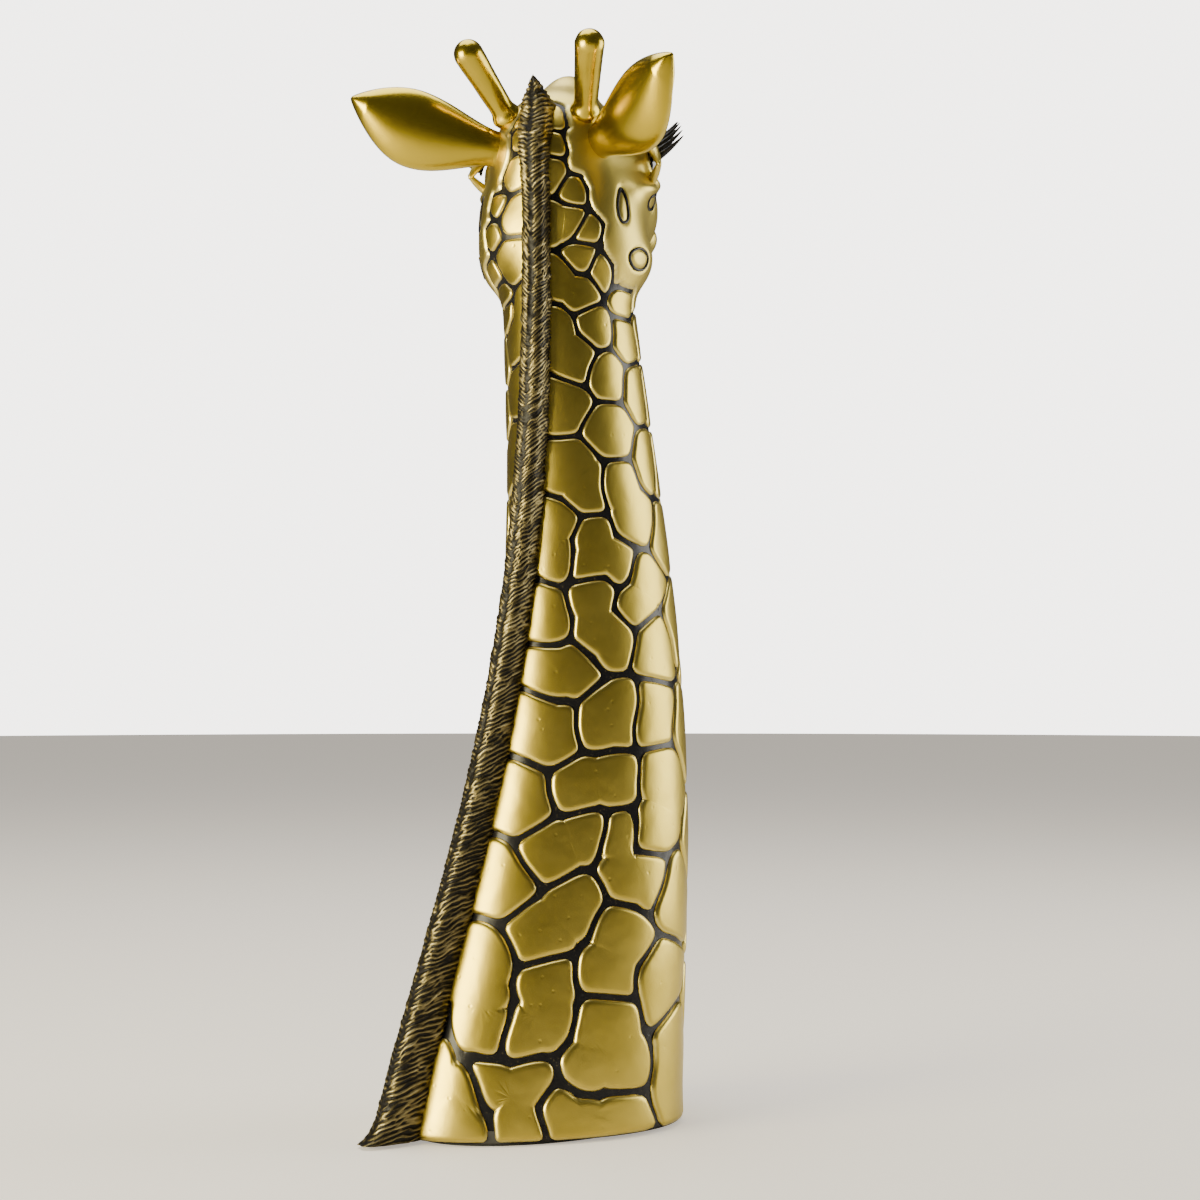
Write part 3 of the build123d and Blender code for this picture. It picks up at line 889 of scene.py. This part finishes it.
def pad_parts(cells):
    """Closed polar meshes of the given pads, with their rim attribute."""
    rings = settle(pad_rings(paths[cells], outline[cells]), 1)
    depth_in = inside_of(rings, cells[:, None, None])
    normals = unit(slope_of(rings))
    level = pad_level(rings, depth_in)
    # rim: the band just inside the outline that gets the painted highlight and wear of the rounded
    # edge.
    rim = np.exp(-((depth_in - 0.35) / 0.4) ** 2)
    tops = rings + normals * level[..., None]
    border = rings[:, :, -1:]
    skirt_drop = groove_depth(border)[..., None] + SKIRT_DEPTH
    skirt = border - normals[:, :, -1:] * skirt_drop
    grid = np.concatenate([tops, skirt], 2).transpose(0, 2, 1, 3)
    rim = np.concatenate([rim, rim[:, :, -1:] * 0], 2).transpose(0, 2, 1)
    centre = middles[cells]
    centre_in = inside_of(centre, cells)
    centre_normal = unit(slope_of(centre))
    top_tip = centre + centre_normal * pad_level(centre, centre_in)[:, None]
    low_tip = centre - centre_normal * LOW_TIP_DEPTH
    parts, rims = [], []
    for number in range(len(cells)):
        parts.append(outward(closed_tube(grid[number], top_tip[number], low_tip[number])))
        rims.append(np.concatenate([rim[number].ravel(), [0, 0]]))
    return joined(parts), np.concatenate(rims)


wide_enough = outline.min(1) > LEAST_REACH
heights = middles[:, 2]
BANDS = {"pads_foot": (-10, 62), "pads_lower_neck": (62, 125), "pads_middle_neck": (125, 188),
         "pads_upper_neck": (188, 262), "pads_throat_and_nape": (262, 400)}
for band, (low_height, high_height) in BANDS.items():
    chosen = np.nonzero(wide_enough & (heights >= low_height) & (heights < high_height))[0]
    part, rim = pad_parts(chosen)
    replaced = ("neck_and_head",) if band == "pads_foot" else ()
    add_piece(band, part, SATIN_GOLD, replaced, {"rim": rim})

# %% [markdown]
# ## The face
# The face is one large smooth pad. It uses the same rings as the ground but many more of them,
# so that lids, nostrils, the mouth and the thin engraved loops can be pressed into it. Outside
# the jaw line its level dives under the black ground, which makes the groove round the face.

# %% Engraved loops and the mouth line
LOOPS = {
    "drop": ((-11, 26, -14), 3.6, 6.2, 0.6),
    "bean": ((12, 29, -8), 4.4, 2.9, 0.0),
    "square": ((-1, 27, -31), 6.0, 3.9, 0.0),
}


def loop_curve(middle, half_wide, half_tall, taper, side):
    """A closed curve on the cheek: an oval in the tangent plane whose top narrows by taper."""
    centre = settle(from_head((middle[0], side * middle[1], middle[2]))[None], 4)[0]
    normal = unit(slope_of(centre[None]))[0]
    across = unit(np.cross(normal, HEAD_UP))
    upward = np.cross(across, normal)
    turn = np.linspace(0, 2 * np.pi, 72, endpoint=False)
    width = half_wide * (1 - taper * (np.sin(turn) + 1) / 2) * (1 + 0.06 * np.sin(3 * turn + 1))
    flat = across * (width * np.cos(turn))[:, None] + upward * (half_tall * np.sin(turn))[:, None]
    return settle(centre + flat, 3)


def mouth_curve(side):
    """The mouth line from the front of the lips back along the side of the muzzle."""
    forward = np.linspace(70, 38, 60)
    share = (70 - forward) / 32
    up = -26 + 5.5 * np.sin(share * np.pi * 0.5) * share - 2.0 * share
    places = np.stack([forward, side * (0.2 + 15.5 * share ** 0.45), up], -1)
    return settle(from_head(places), 4)


loop_curves = [loop_curve(*loop, side) for loop in LOOPS.values() for side in (1, -1)]
mouth_curves = [mouth_curve(1), mouth_curve(-1)]


def distance_to(points, curve):
    """Least distance from each point to the points of a curve."""
    result = np.empty(len(points))
    for part in np.array_split(np.arange(len(points)), max(1, len(points) // 20000)):
        result[part] = np.sqrt(((points[part, None] - curve) ** 2).sum(-1).min(1))
    return result


# %% Face level
EYE_MIDDLE = np.array([9.0, 21.0, 4.0])
EYE_FACING = unit([0.45, 0.9, 0.05])
NOSTRIL = np.array([64.0, 8.0, -10.0])
NOSTRIL_LENGTH, NOSTRIL_WIDTH = 4.2, 1.6
LID_RADIUS, LOOP_DEPTH, MOUTH_DEPTH = 7.2, 0.75, 1.1


def face_level(points):
    """Level of the face: lids up, nostrils, mouth and loops down, and a dive past the jaw."""
    flat = points.reshape(-1, 3)
    inside = groove_distance(flat, FACE_CELL, corner_of(flat)) - half_groove(flat)
    depth = groove_depth(flat)
    edge = np.clip(inside / 1.6, 0, 1)
    level = depth * (np.sqrt(1 - (1 - edge) ** 2) - 1)
    level = np.where(inside < 0, -depth + np.maximum(inside * 1.2, -2.5), level)
    for curve in loop_curves:
        level -= LOOP_DEPTH * np.exp(-(distance_to(flat, curve) / 0.75) ** 2)
    for curve in mouth_curves:
        level -= MOUTH_DEPTH * np.exp(-(distance_to(flat, curve) / 0.9) ** 2)
    places = to_head(flat)
    places[:, 1] = np.abs(places[:, 1])
    from_eye = places - EYE_MIDDLE
    along = from_eye @ EYE_FACING
    off_axis = np.sqrt(np.maximum((from_eye ** 2).sum(-1) - along ** 2, 0))
    facing = along > 4
    level += facing * 1.5 * np.exp(-((off_axis - LID_RADIUS) / 1.5) ** 2)
    level -= facing * 1.8 * np.exp(-(off_axis / 5.0) ** 4)
    from_nostril = places - NOSTRIL
    slit_along = from_nostril @ unit([0.6, 0.5, 0.5]) / NOSTRIL_LENGTH
    slit_across = from_nostril @ unit([0.5, -0.7, 0.2]) / NOSTRIL_WIDTH
    slit = np.hypot(slit_along, slit_across)
    level -= 2.6 * np.exp(-slit ** 2 * 1.3)
    level += 0.7 * np.exp(-((slit - 1.5) / 0.5) ** 2)
    # rim: the band inside the jaw line that gets the painted highlight and wear of the edge.
    rim = np.exp(-((inside - 0.5) / 0.5) ** 2)
    return level.reshape(points.shape[:-1]), rim


# %% Build the face
face_rings, face_tip = head_rings(210, 208)
level, rim = face_level(face_rings)
face = raised(face_rings, level)
first_middle = face[0].mean(0)
face_part = outward(closed_tube(face, first_middle, face_tip))
add_piece("face", face_part, FACE_GOLD, (), {"rim": np.concatenate([rim, [0, 0]])})

# %% [markdown]
# ## Black in the engraved lines
# Enamel is left in the loops and in the mouth. A thin round bead carried along each curve, set
# a little below the skin, fills the bottom of the line.

# %% Beads along curves
def bead(curve, radius, closed, sink, sides=10):
    """A round profile carried along a curve on the skin; an open curve tapers at its ends."""
    normals = unit(slope_of(curve))
    if closed:
        tangents = unit(np.roll(curve, -1, 0) - np.roll(curve, 1, 0))
        size = np.full(len(curve), radius)
    else:
        tangents = unit(np.gradient(curve, axis=0))
        share = np.linspace(0, 1, len(curve))
        size = radius * np.clip(np.minimum(share, 1 - share) * 8, 0.15, 1)
    across = np.cross(tangents, normals)
    turn = np.linspace(0, 2 * np.pi, sides, endpoint=False)[None, :, None]
    middle = (curve - normals * sink)[:, None]
    ring = across[:, None] * np.cos(turn) + normals[:, None] * np.sin(turn)
    grid = middle + ring * size[:, None, None]
    if not closed:
        return outward(closed_tube(grid, middle[0, 0], middle[-1, 0]))
    rows = len(curve)
    quads = grid_quads(rows + 1, sides) % (rows * sides)
    return outward((grid.reshape(-1, 3), quads, np.zeros((0, 3), int)))


lines = joined(
    [bead(curve, 0.6, True, 0.4) for curve in loop_curves]
    + [bead(curve, 0.65, False, 0.75) for curve in mouth_curves]
)
add_piece("engraved_lines", lines, GROOVE_BLACK)

# %% [markdown]
# ## The mane
# The mane is a fin of carved hair glued down the nape. Each level section is a soft-cornered
# oval that starts under the skin and reaches out to the crest. Strands are ridges that run
# obliquely down from the root to the crest, in two crossing families, so they seem to overlap.
# The height of the relief is kept as an attribute: the finish puts black where it is low.

# %% Mane
MANE_ROWS, MANE_COLUMNS = 840, 112
MANE_WIDTH, MANE_FOOT_WIDTH = 8.6, 10.5
MANE_STAND, MANE_FOOT_STAND = 8.2, 14.5
MANE_TOP = 29.0
MANE_ROOT = 3.0
MANE_SOFTNESS = 0.62
CREST_BACK = 34.0
ROOT_CUT_START = 21.0


def mane_profile(height):
    """Root point, outward direction, stand and width of the fin at each height."""
    share = np.clip(height / NECK_HEIGHT, 0, 1)
    x, y, turn, *_ = neck_line(height)
    front, _ = level_axes(turn)
    root = skin_along(np.stack([x, y, height], -1), -front)
    stand = MANE_STAND + (MANE_FOOT_STAND - MANE_STAND) * (1 - share) ** 3
    stand = stand + 5.0 * np.exp(-height / 3.0)
    width = MANE_FOOT_WIDTH + (MANE_WIDTH - MANE_FOOT_WIDTH) * share
    above = height - NECK_HEIGHT
    back = -to_head(root)[:, 0]
    poll = np.clip((above + 12) / 16, 0, 1)
    stand = stand + np.maximum(CREST_BACK - 0.1 * np.maximum(above, 0) - back - stand, 0) * poll
    width = width * (1 + 0.3 * np.exp(-((above - 12) / 12.0) ** 2))
    narrowing = np.clip((MANE_TOP - above) / 8.0, 0, 1)
    width = width * narrowing ** 0.75
    root_cut = np.clip((above - ROOT_CUT_START) / (MANE_TOP - ROOT_CUT_START), 0, 1)
    return root, -front, stand, width, root_cut


# %% Strands of the mane
def strands(height, from_crest, side, seed, spacing, fall):
    """Ridge height 0 to 1 of one family of strands that fall from the root to the crest."""
    bend = fall * from_crest * (1 - 0.02 * from_crest)
    phase = (height - bend) / spacing
    phase = phase + 0.55 * ripple(height / 7.0, side * 3 + from_crest / 6.0, seed)
    phase = phase + 0.22 * ripple(height / 2.2, side * 5 + from_crest / 2.0, seed + 3)
    ridge = 1 - np.abs(2 * (phase - np.floor(phase)) - 1) ** 1.6
    strength = 0.72 + 0.28 * ripple(np.floor(phase) * 1.7, side * 7 + from_crest / 5.0, seed + 5)
    return ridge * strength


# %% Smooth section of the fin
mane_height = np.linspace(0, NECK_HEIGHT + MANE_TOP, MANE_ROWS)
root, out, stand, width, root_cut = mane_profile(mane_height)
inner = -MANE_ROOT + (stand + MANE_ROOT - 1.0) * root_cut
semi = (stand - inner) / 2
middle_out = (stand + inner) / 2
turn = np.linspace(0, 2 * np.pi, MANE_COLUMNS, endpoint=False)[None, :]
sine, cosine = np.sin(turn), np.cos(turn)
across = np.sign(sine) * np.abs(sine) ** MANE_SOFTNESS * (width / 2)[:, None]
reach_part = np.sign(cosine) * np.abs(cosine) ** MANE_SOFTNESS * semi[:, None]
outward_reach = middle_out[:, None] - reach_part
pieces = np.hypot(np.diff(across, axis=1, prepend=across[:, -1:]),
                  np.diff(outward_reach, axis=1, prepend=outward_reach[:, -1:]))
crest_column = MANE_COLUMNS // 2
run = np.cumsum(pieces, axis=1)
from_crest = np.abs(run - run[:, crest_column][:, None])
side = np.sign(sine) * np.ones_like(across)
rows_height = mane_height[:, None] + 0 * across
print("mane section runs", run[:, -1].min().round(1), "to", run[:, -1].max().round(1), "mm round")

# %% Relief of the strands
fall = 0.5 + 0.45 * np.clip((rows_height - 100) / 140, 0, 1)
fall = fall * (1 - 0.7 * np.clip((rows_height - NECK_HEIGHT + 15) / 25, 0, 1))
spacing = 1.9 - 0.35 * np.clip(rows_height / 300, 0, 1)
first_family = strands(rows_height, from_crest, side, 1, spacing, fall)
second_family = strands(rows_height, from_crest, side, 9, spacing * 1.4, fall * 1.5 + 0.25)
blend_noise = ripple(rows_height / 5.0, from_crest / 5.0 + side * 4, 21)
relief = np.maximum(first_family, (0.75 + 0.3 * blend_noise) * second_family)
relief = relief * (1 - 0.5 * np.exp(-(from_crest / 0.9) ** 2))
notch = 0.3 * ripple(rows_height / 1.9, side * 2, 31) * np.exp(-from_crest / 3.0)
ragged = 0.4 * ripple(rows_height / 1.7, side * 6, 41) * np.exp(-(outward_reach / 1.8) ** 2)
lift = 1.05 * (relief - 0.62) + notch + ragged
print("strand relief", relief.min().round(2), "to", relief.max().round(2))

# %% Build the mane
_, neck_right = level_axes(neck_line(mane_height)[2])
tangent = np.gradient(np.stack([across, outward_reach], -1), axis=1)
normal_across, normal_out = tangent[..., 1], -tangent[..., 0]
length = np.hypot(normal_across, normal_out) + 1e-9
flip = np.sign((normal_across * across + normal_out * (outward_reach - middle_out[:, None])).mean())
taper_top = np.clip(width / 5.0, 0.15, 1)[:, None]
across = across + flip * normal_across / length * lift * taper_top
outward_reach = outward_reach + flip * normal_out / length * lift * taper_top
mane = root[:, None] + out[:, None] * outward_reach[..., None]
mane = mane + neck_right[:, None] * across[..., None]
crest_lean = np.clip((rows_height - NECK_HEIGHT - 20) / 9, 0, 1)
mane[..., 2] += 0.8 * crest_lean * relief
mane[0, :, 2] = 0
mane[..., 2] = np.maximum(mane[..., 2], 0)
mane_part = outward(closed_tube(mane, mane[0].mean(0), mane[-1].mean(0) + [0, 0, 0.5]))
ridge = np.concatenate([relief.ravel(), [0.5, 0.5]])
add_piece("mane", mane_part, MANE_GOLD, ("mane_strip",), {"ridge": ridge})

# %% [markdown]
# ## Horns
# A horn is turned: a radius that grows slowly towards a round club end, with a soft collar where
# it was pressed into the skull. A slow wave on the radius keeps it from looking machined.

# %% Seats on the skull
SKULL_MIDDLE = np.array([0.0, 0.0, 7.0])
SKULL_REACH, SEAT_DEPTH = 26.8, 2.5
SEAT_RADIUS = SKULL_REACH - SEAT_DEPTH


def seat(back, out_to_right, up):
    """A seat just under the skull's skin, in a direction from the skull's middle."""
    return from_head(SKULL_MIDDLE + unit([-back, out_to_right, up]) * SEAT_RADIUS)


def head_direction(forward, right, up):
    """A unit direction given in head coordinates."""
    return unit(np.array([forward, right, up], float)) @ HEAD_AXES


def side_axes(direction, towards):
    """Two unit vectors across a direction, the first as near to 'towards' as it can be."""
    first_axis = unit(towards - direction * (direction @ towards))
    return first_axis, np.cross(direction, first_axis)


# %% Horns
HORN_LENGTH = 28.0
HORN_ROOT, HORN_TIP = 4.1, 5.2


def horn(side_sign):
    """Rings along the horn's axis: root, collar, slow swell, and a half ball at the end."""
    start = seat(16, side_sign * 14, 11)
    direction = head_direction(-18, side_sign * 7.5, 18)
    first_axis, second_axis = side_axes(direction, HEAD_UP)
    shaft = np.linspace(-6, HORN_LENGTH, 70)
    radius = HORN_ROOT + (HORN_TIP - HORN_ROOT) * np.clip(shaft / HORN_LENGTH, 0, 1) ** 1.3
    radius = radius + 1.3 * np.exp(-((shaft - 1.5) / 2.2) ** 2)
    ball = np.radians(np.linspace(4, 86, 20))
    stations = np.concatenate([shaft, HORN_LENGTH + HORN_TIP * np.sin(ball)])
    radii = np.concatenate([radius, HORN_TIP * np.cos(ball)])
    turn = np.linspace(0, 2 * np.pi, 64, endpoint=False)
    uneven = 1 + 0.018 * ripple(stations[:, None] / 6, 3 * np.cos(turn) + side_sign * 9, 51)
    ring = first_axis * np.cos(turn)[:, None] + second_axis * np.sin(turn)[:, None]
    grid = start + direction * stations[:, None, None] + ring * (radii[:, None] * uneven)[..., None]
    end = start + direction * (HORN_LENGTH + HORN_TIP)
    return outward(closed_tube(grid, start - direction * 6, end))


for name, side_sign in (("left_horn", -1), ("right_horn", 1)):
    part = horn(side_sign)
    rim = np.zeros(len(part[0]))
    add_piece(name + "_club", part, BRIGHT_GOLD, (name,), {"rim": rim})

# %% [markdown]
# ## Ears
# An ear is a leaf with a plump back and a scooped front. Its section is a closed crescent: the
# back is half an oval, the front follows it one wall further in, and near the root and the tip
# the scoop fills up. The leaf's middle line sags a little, so the upper edge runs straight.

# %% Ears
EAR_LENGTH = 54.0
EAR_HALF_WIDTH = 13.6
EAR_PLUMP = 6.6
EAR_WALL = 2.0
EAR_CURL = 3.0
TIP_START = 0.93


def ear_leaf(share):
    """Half-width of the leaf along its length."""
    swell = 0.46 + 0.54 * np.sin(np.pi / 2 * np.clip(share / 0.55, 0, 1)) ** 1.5
    narrow = np.cos(np.pi / 2 * np.clip((share - 0.55) / 0.46, 0, 1)) ** 0.85
    return EAR_HALF_WIDTH * np.where(share < 0.55, swell, narrow)


def ear(lean, sag):
    """Crescent sections along the leaf, from a buried root to a rounded tip."""
    start = seat(15, np.sign(lean[1]) * 19, 1)
    direction = head_direction(*lean)
    facing, breadth = side_axes(direction, HEAD_FRONT)
    breadth = breadth * np.sign(breadth[2])
    tip_share = TIP_START + (1 - TIP_START) * np.sin(np.linspace(0.08, 1.5, 18))
    share = np.concatenate([np.linspace(-0.12, TIP_START, 96), tip_share])
    half = ear_leaf(np.clip(share, 0, 0.9995))
    arch = np.sin(np.pi * np.clip(share, 0, 1))
    plump = EAR_PLUMP * (0.72 + 0.28 * arch) * np.clip(half / 6, 0.1, 1) ** 0.5
    open_share = np.clip((share - 0.12) / 0.2, 0, 1) * np.clip((TIP_START - share) / 0.16, 0, 1)
    open_share = eased(open_share)
    turn = np.linspace(0, 2 * np.pi, 96, endpoint=False)
    back = np.cos(turn) > 0
    across = np.sin(turn)[None] * half[:, None]
    bulge = np.abs(np.cos(turn))[None]
    behind = -plump[:, None] * bulge
    filled = 0.45 * plump[:, None] * bulge
    scooped = -(plump[:, None] - EAR_WALL) * bulge ** 1.25 + 0.35 * bulge
    front = filled * (1 - open_share[:, None]) + scooped * open_share[:, None]
    lie = np.where(back[None], behind, front)
    # rim: the leaf's edges, which get the painted highlight and wear.
    rim = np.exp(-((np.abs(np.sin(turn))[None] - 1) / 0.03) ** 2) * (share[:, None] > 0.1)
    droop = -sag * arch
    curl = EAR_CURL * np.clip(share, 0, 1) ** 2
    middle = (start + direction * (share * EAR_LENGTH)[:, None]
              + breadth * droop[:, None] + facing * curl[:, None])
    grid = middle[:, None] + breadth * across[..., None] + facing * lie[..., None]
    part = outward(closed_tube(grid, middle[0], middle[-1] + direction * 0.3))
    return part, np.concatenate([rim.ravel(), [0, 0]])


for name, lean, sag in (
    ("left_ear", (-24, -42, 15), 3.0),
    ("right_ear", (-37, 34.5, 18), 5.0),
):
    part, rim = ear(lean, sag)
    add_piece(name + "_leaf", part, BRIGHT_GOLD, (name,), {"rim": rim})

# %% [markdown]
# ## Lids and lashes
# Round each glass eye lie two gold folds that meet behind it in a wing. A black line follows the
# upper fold and a fan of thick lashes stands on it. Each is a tapered bead along a short curve.

# %% Lids and lashes
LASHES = 9


def tapered(curve, radius, normal_axis, flat, sides=12):
    """An oval profile carried along a curve, thinning to both ends."""
    tangents = unit(np.gradient(curve, axis=0))
    across = unit(np.cross(tangents, normal_axis))
    upward = np.cross(across, tangents)
    turn = np.linspace(0, 2 * np.pi, sides, endpoint=False)[None, :, None]
    ring = across[:, None] * np.cos(turn) + upward[:, None] * np.sin(turn) * flat
    grid = curve[:, None] + ring * radius[:, None, None]
    return outward(closed_tube(grid, curve[0], curve[-1]))


def eye_axes(side_sign):
    """Middle of the brow, the eye's facing, and its forward and upward axes."""
    mirror = np.array([1, side_sign, 1])
    middle = from_head(EYE_MIDDLE * mirror)
    facing = unit((EYE_FACING * mirror) @ HEAD_AXES)
    forward = unit(HEAD_FRONT - facing * (facing @ HEAD_FRONT))
    upward = np.cross(forward, facing) * -side_sign
    return middle, facing, forward, upward * np.sign(upward[2])


def around_eye(side_sign):
    """A function that gives places round the eye: angle from forward up, radius, stand."""
    middle, facing, forward, upward = eye_axes(side_sign)

    def place(angle, radius, stand):
        angle = np.asarray(angle)[..., None]
        return (middle + forward * np.cos(angle) * radius + upward * np.sin(angle) * radius
                + facing * stand)

    return place, facing, forward, upward


def lashes(side_sign):
    """A black upper lid line and a fan of thick lashes that sweep outwards, back and up."""
    place, facing, forward, upward = around_eye(side_sign)
    share = np.linspace(0, 1, 60)[:, None]
    stand = 10.2 + 0.8 * np.sin(np.pi * share)
    line = place(np.radians(np.linspace(-8, 186, 60)), 7.6 + 0 * share, stand)
    parts = [tapered(line, 0.3 + 1.2 * np.sin(np.pi * share[:, 0]) ** 0.6, facing, 0.8)]
    for number in range(LASHES):
        start_angle = np.radians(40 + 16 * number)
        steps = np.linspace(0, 1, 20)[:, None]
        sweep = facing * 8.5 - forward * (2.0 + 0.6 * number) + upward * (6.5 - 0.3 * number)
        root = place(np.full(20, start_angle), 7.8 + 0 * steps, 10.6 + 0 * steps)
        curve = root + sweep * steps + upward * (1.8 * steps ** 2)
        parts.append(tapered(curve, 0.15 + 1.5 * (1 - steps[:, 0]) ** 0.75, facing, 0.8, 8))
    return joined(parts)


def lids(side_sign):
    """Gold lids: a broad upper fold that ends in a wing behind the eye, and a lower fold."""
    place, facing, forward, _ = around_eye(side_sign)
    share = np.linspace(0, 1, 70)[:, None]
    wing = np.clip((share - 0.72) / 0.28, 0, 1)
    upper = place(np.radians(np.linspace(-15, 196, 70)), 8.6 + 2.0 * wing, 8.6 + 1.6 * wing)
    upper = upper - forward * 3.0 * wing ** 2
    lower = place(np.radians(np.linspace(344, 186, 70)), 8.4 + 2.6 * wing, 8.0 + 2.4 * wing)
    lower = lower - forward * 2.5 * wing ** 2
    size = np.sin(np.pi * share[:, 0]) ** 0.5
    return joined([
        tapered(upper, 0.4 + 2.0 * size, facing, 1.0, 16),
        tapered(lower, 0.4 + 1.7 * size, facing, 1.0, 16),
    ])


for name, side_sign in (("left", -1), ("right", 1)):
    fan_part, replaced = lashes(side_sign), (name + "_lashes",)
    add_piece(name + "_lash_fan", fan_part, GROOVE_BLACK, replaced)
    part = lids(side_sign)
    add_piece(name + "_lids", part, FACE_GOLD, (), {"rim": np.zeros(len(part[0]))})

# %% [markdown]
# ## Pieces that stay as the CAD made them
# The glass eyes, the base plate, the felt pad and the hidden pins have the right shape already.
# They only need a finish.

# %% Finishes on CAD nodes
def make_felt():
    """Black felt: a rough fibre bump and a slightly mottled colour."""
    material, tree, shader = plain_material("black_felt", (0.02, 0.02, 0.022, 1), 0.95)
    place = add_node(tree, "TexCoord")
    fibre = add_node(tree, "TexNoise", sockets={"Scale": 2600.0, "Detail": 5.0})
    tree.links.new(place.outputs["Object"], fibre.inputs["Vector"])
    dark, light = (0.012, 0.012, 0.013, 1), (0.05, 0.05, 0.055, 1)
    mottled = mix_colour(tree, fibre.outputs["Fac"], dark, light)
    tree.links.new(mottled, shader.inputs["Base Color"])
    add_bump(tree, shader, fibre.outputs["Fac"], 0.8, 0.0004)
    return material


def make_pressed(name, dark, light, roughness, metallic):
    """A plain plate or pin: two close tones and the shared cast skin."""
    material, tree, shader = plain_material(name, dark, roughness, metallic)
    place = add_node(tree, "TexCoord")
    cloud = add_node(tree, "TexNoise", sockets={"Scale": 120.0, "Detail": 3.0})
    tree.links.new(place.outputs["Object"], cloud.inputs["Vector"])
    tree.links.new(mix_colour(tree, cloud.outputs["Fac"], dark, light), shader.inputs["Base Color"])
    surface = place_group(tree, CAST_SKIN, {"Waves": 0.3, "Grain": 0.4, "Pits": 0.1})
    add_bump(tree, shader, surface.outputs["Height"], 0.4, 0.0003)
    return material


PLATE = make_pressed("plate_black", (0.03, 0.03, 0.03, 1), (0.06, 0.06, 0.06, 1), 0.6, 0.0)
PIN_STEEL = make_pressed("pin_steel", (0.5, 0.5, 0.5, 1), (0.65, 0.65, 0.66, 1), 0.3, 1.0)
CAD_FINISHES = {
    "left_eye": EYE_BLACK, "right_eye": EYE_BLACK, "base_plate": PLATE,
    "felt_pad": make_felt(), "ear_pins": PIN_STEEL, "horn_pins": PIN_STEEL,
}
for node, material in CAD_FINISHES.items():
    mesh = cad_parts[node].data
    mesh.materials.clear()
    mesh.materials.append(material)
print("finished CAD nodes:", ", ".join(CAD_FINISHES))

# %% [markdown]
# ## Floor and light
# A pale floor and a pale surround, with three large soft lamps: on the nape side, on the chest
# side and above. Gold only looks like gold when it has something bright and something darker to
# mirror, so the space behind the camera has no lamp and the surround lights the piece weakly.

# %% Floor
floor_mesh = bpy.data.meshes.new("floor")
FLOOR_RADIUS = 4.8
floor_turn = np.linspace(0, 2 * np.pi, 128, endpoint=False)
floor_edge = FLOOR_RADIUS * np.stack([np.cos(floor_turn), np.sin(floor_turn), 0 * floor_turn], -1)
floor_mesh.from_pydata(floor_edge.tolist(), [], [list(range(len(floor_edge)))])
floor_material, floor_tree, floor_shader = plain_material("floor_pale", (0.86, 0.81, 0.73, 1), 0.6)
seen = add_node(floor_tree, "LightPath")
weak_glow, seen_glow = (0.06, 0.055, 0.045, 1), (0.5, 0.46, 0.40, 1)
glow = mix_colour(floor_tree, seen.outputs["Is Camera Ray"], weak_glow, seen_glow)
floor_tree.links.new(glow, floor_shader.inputs["Emission Color"])
floor_shader.inputs["Emission Strength"].default_value = 1.0
floor_mesh.materials.append(floor_material)
floor = bpy.data.objects.new("floor", floor_mesh)
bpy.context.scene.collection.objects.link(floor)


# %% Lamps and surround
LAMP_TARGET = np.array([0.0, -20.0, 190.0])


def add_lamp(name, side_of_camera, towards_camera, height, size, power, colour):
    """A square soft lamp, placed by its distance to the camera's right and towards the camera."""
    place = camera_right * side_of_camera + to_camera * towards_camera + [0, 0, height]
    data = bpy.data.lights.new(name, "AREA")
    data.shape = "SQUARE"
    data.size = size
    data.energy = power
    data.color = colour
    lamp = bpy.data.objects.new(name, data)
    bpy.context.scene.collection.objects.link(lamp)
    lamp.location = Vector((place + ORIGIN) * MM)
    lamp.rotation_euler = Vector(LAMP_TARGET - place).to_track_quat("-Z", "Y").to_euler()


add_lamp("nape_side", -880, 640, 200, 0.62, 29, (1.0, 0.90, 0.56))
add_lamp("chest_side", 1150, -250, 380, 0.7, 10, (1.0, 0.97, 0.88))
add_lamp("above", -150, -150, 1400, 1.1, 20, (1.0, 0.98, 0.94))
world = bpy.data.worlds.new("surround")
bpy.context.scene.world = world
world.use_nodes = True
tree = world.node_tree
background = tree.nodes["Background"]
light_path = add_node(tree, "LightPath")
weak_light, seen_light = (0.085, 0.085, 0.085, 1), (4.6, 4.45, 4.25, 1)
surround = mix_colour(tree, light_path.outputs["Is Camera Ray"], weak_light, seen_light)
tree.links.new(surround, background.inputs["Color"])
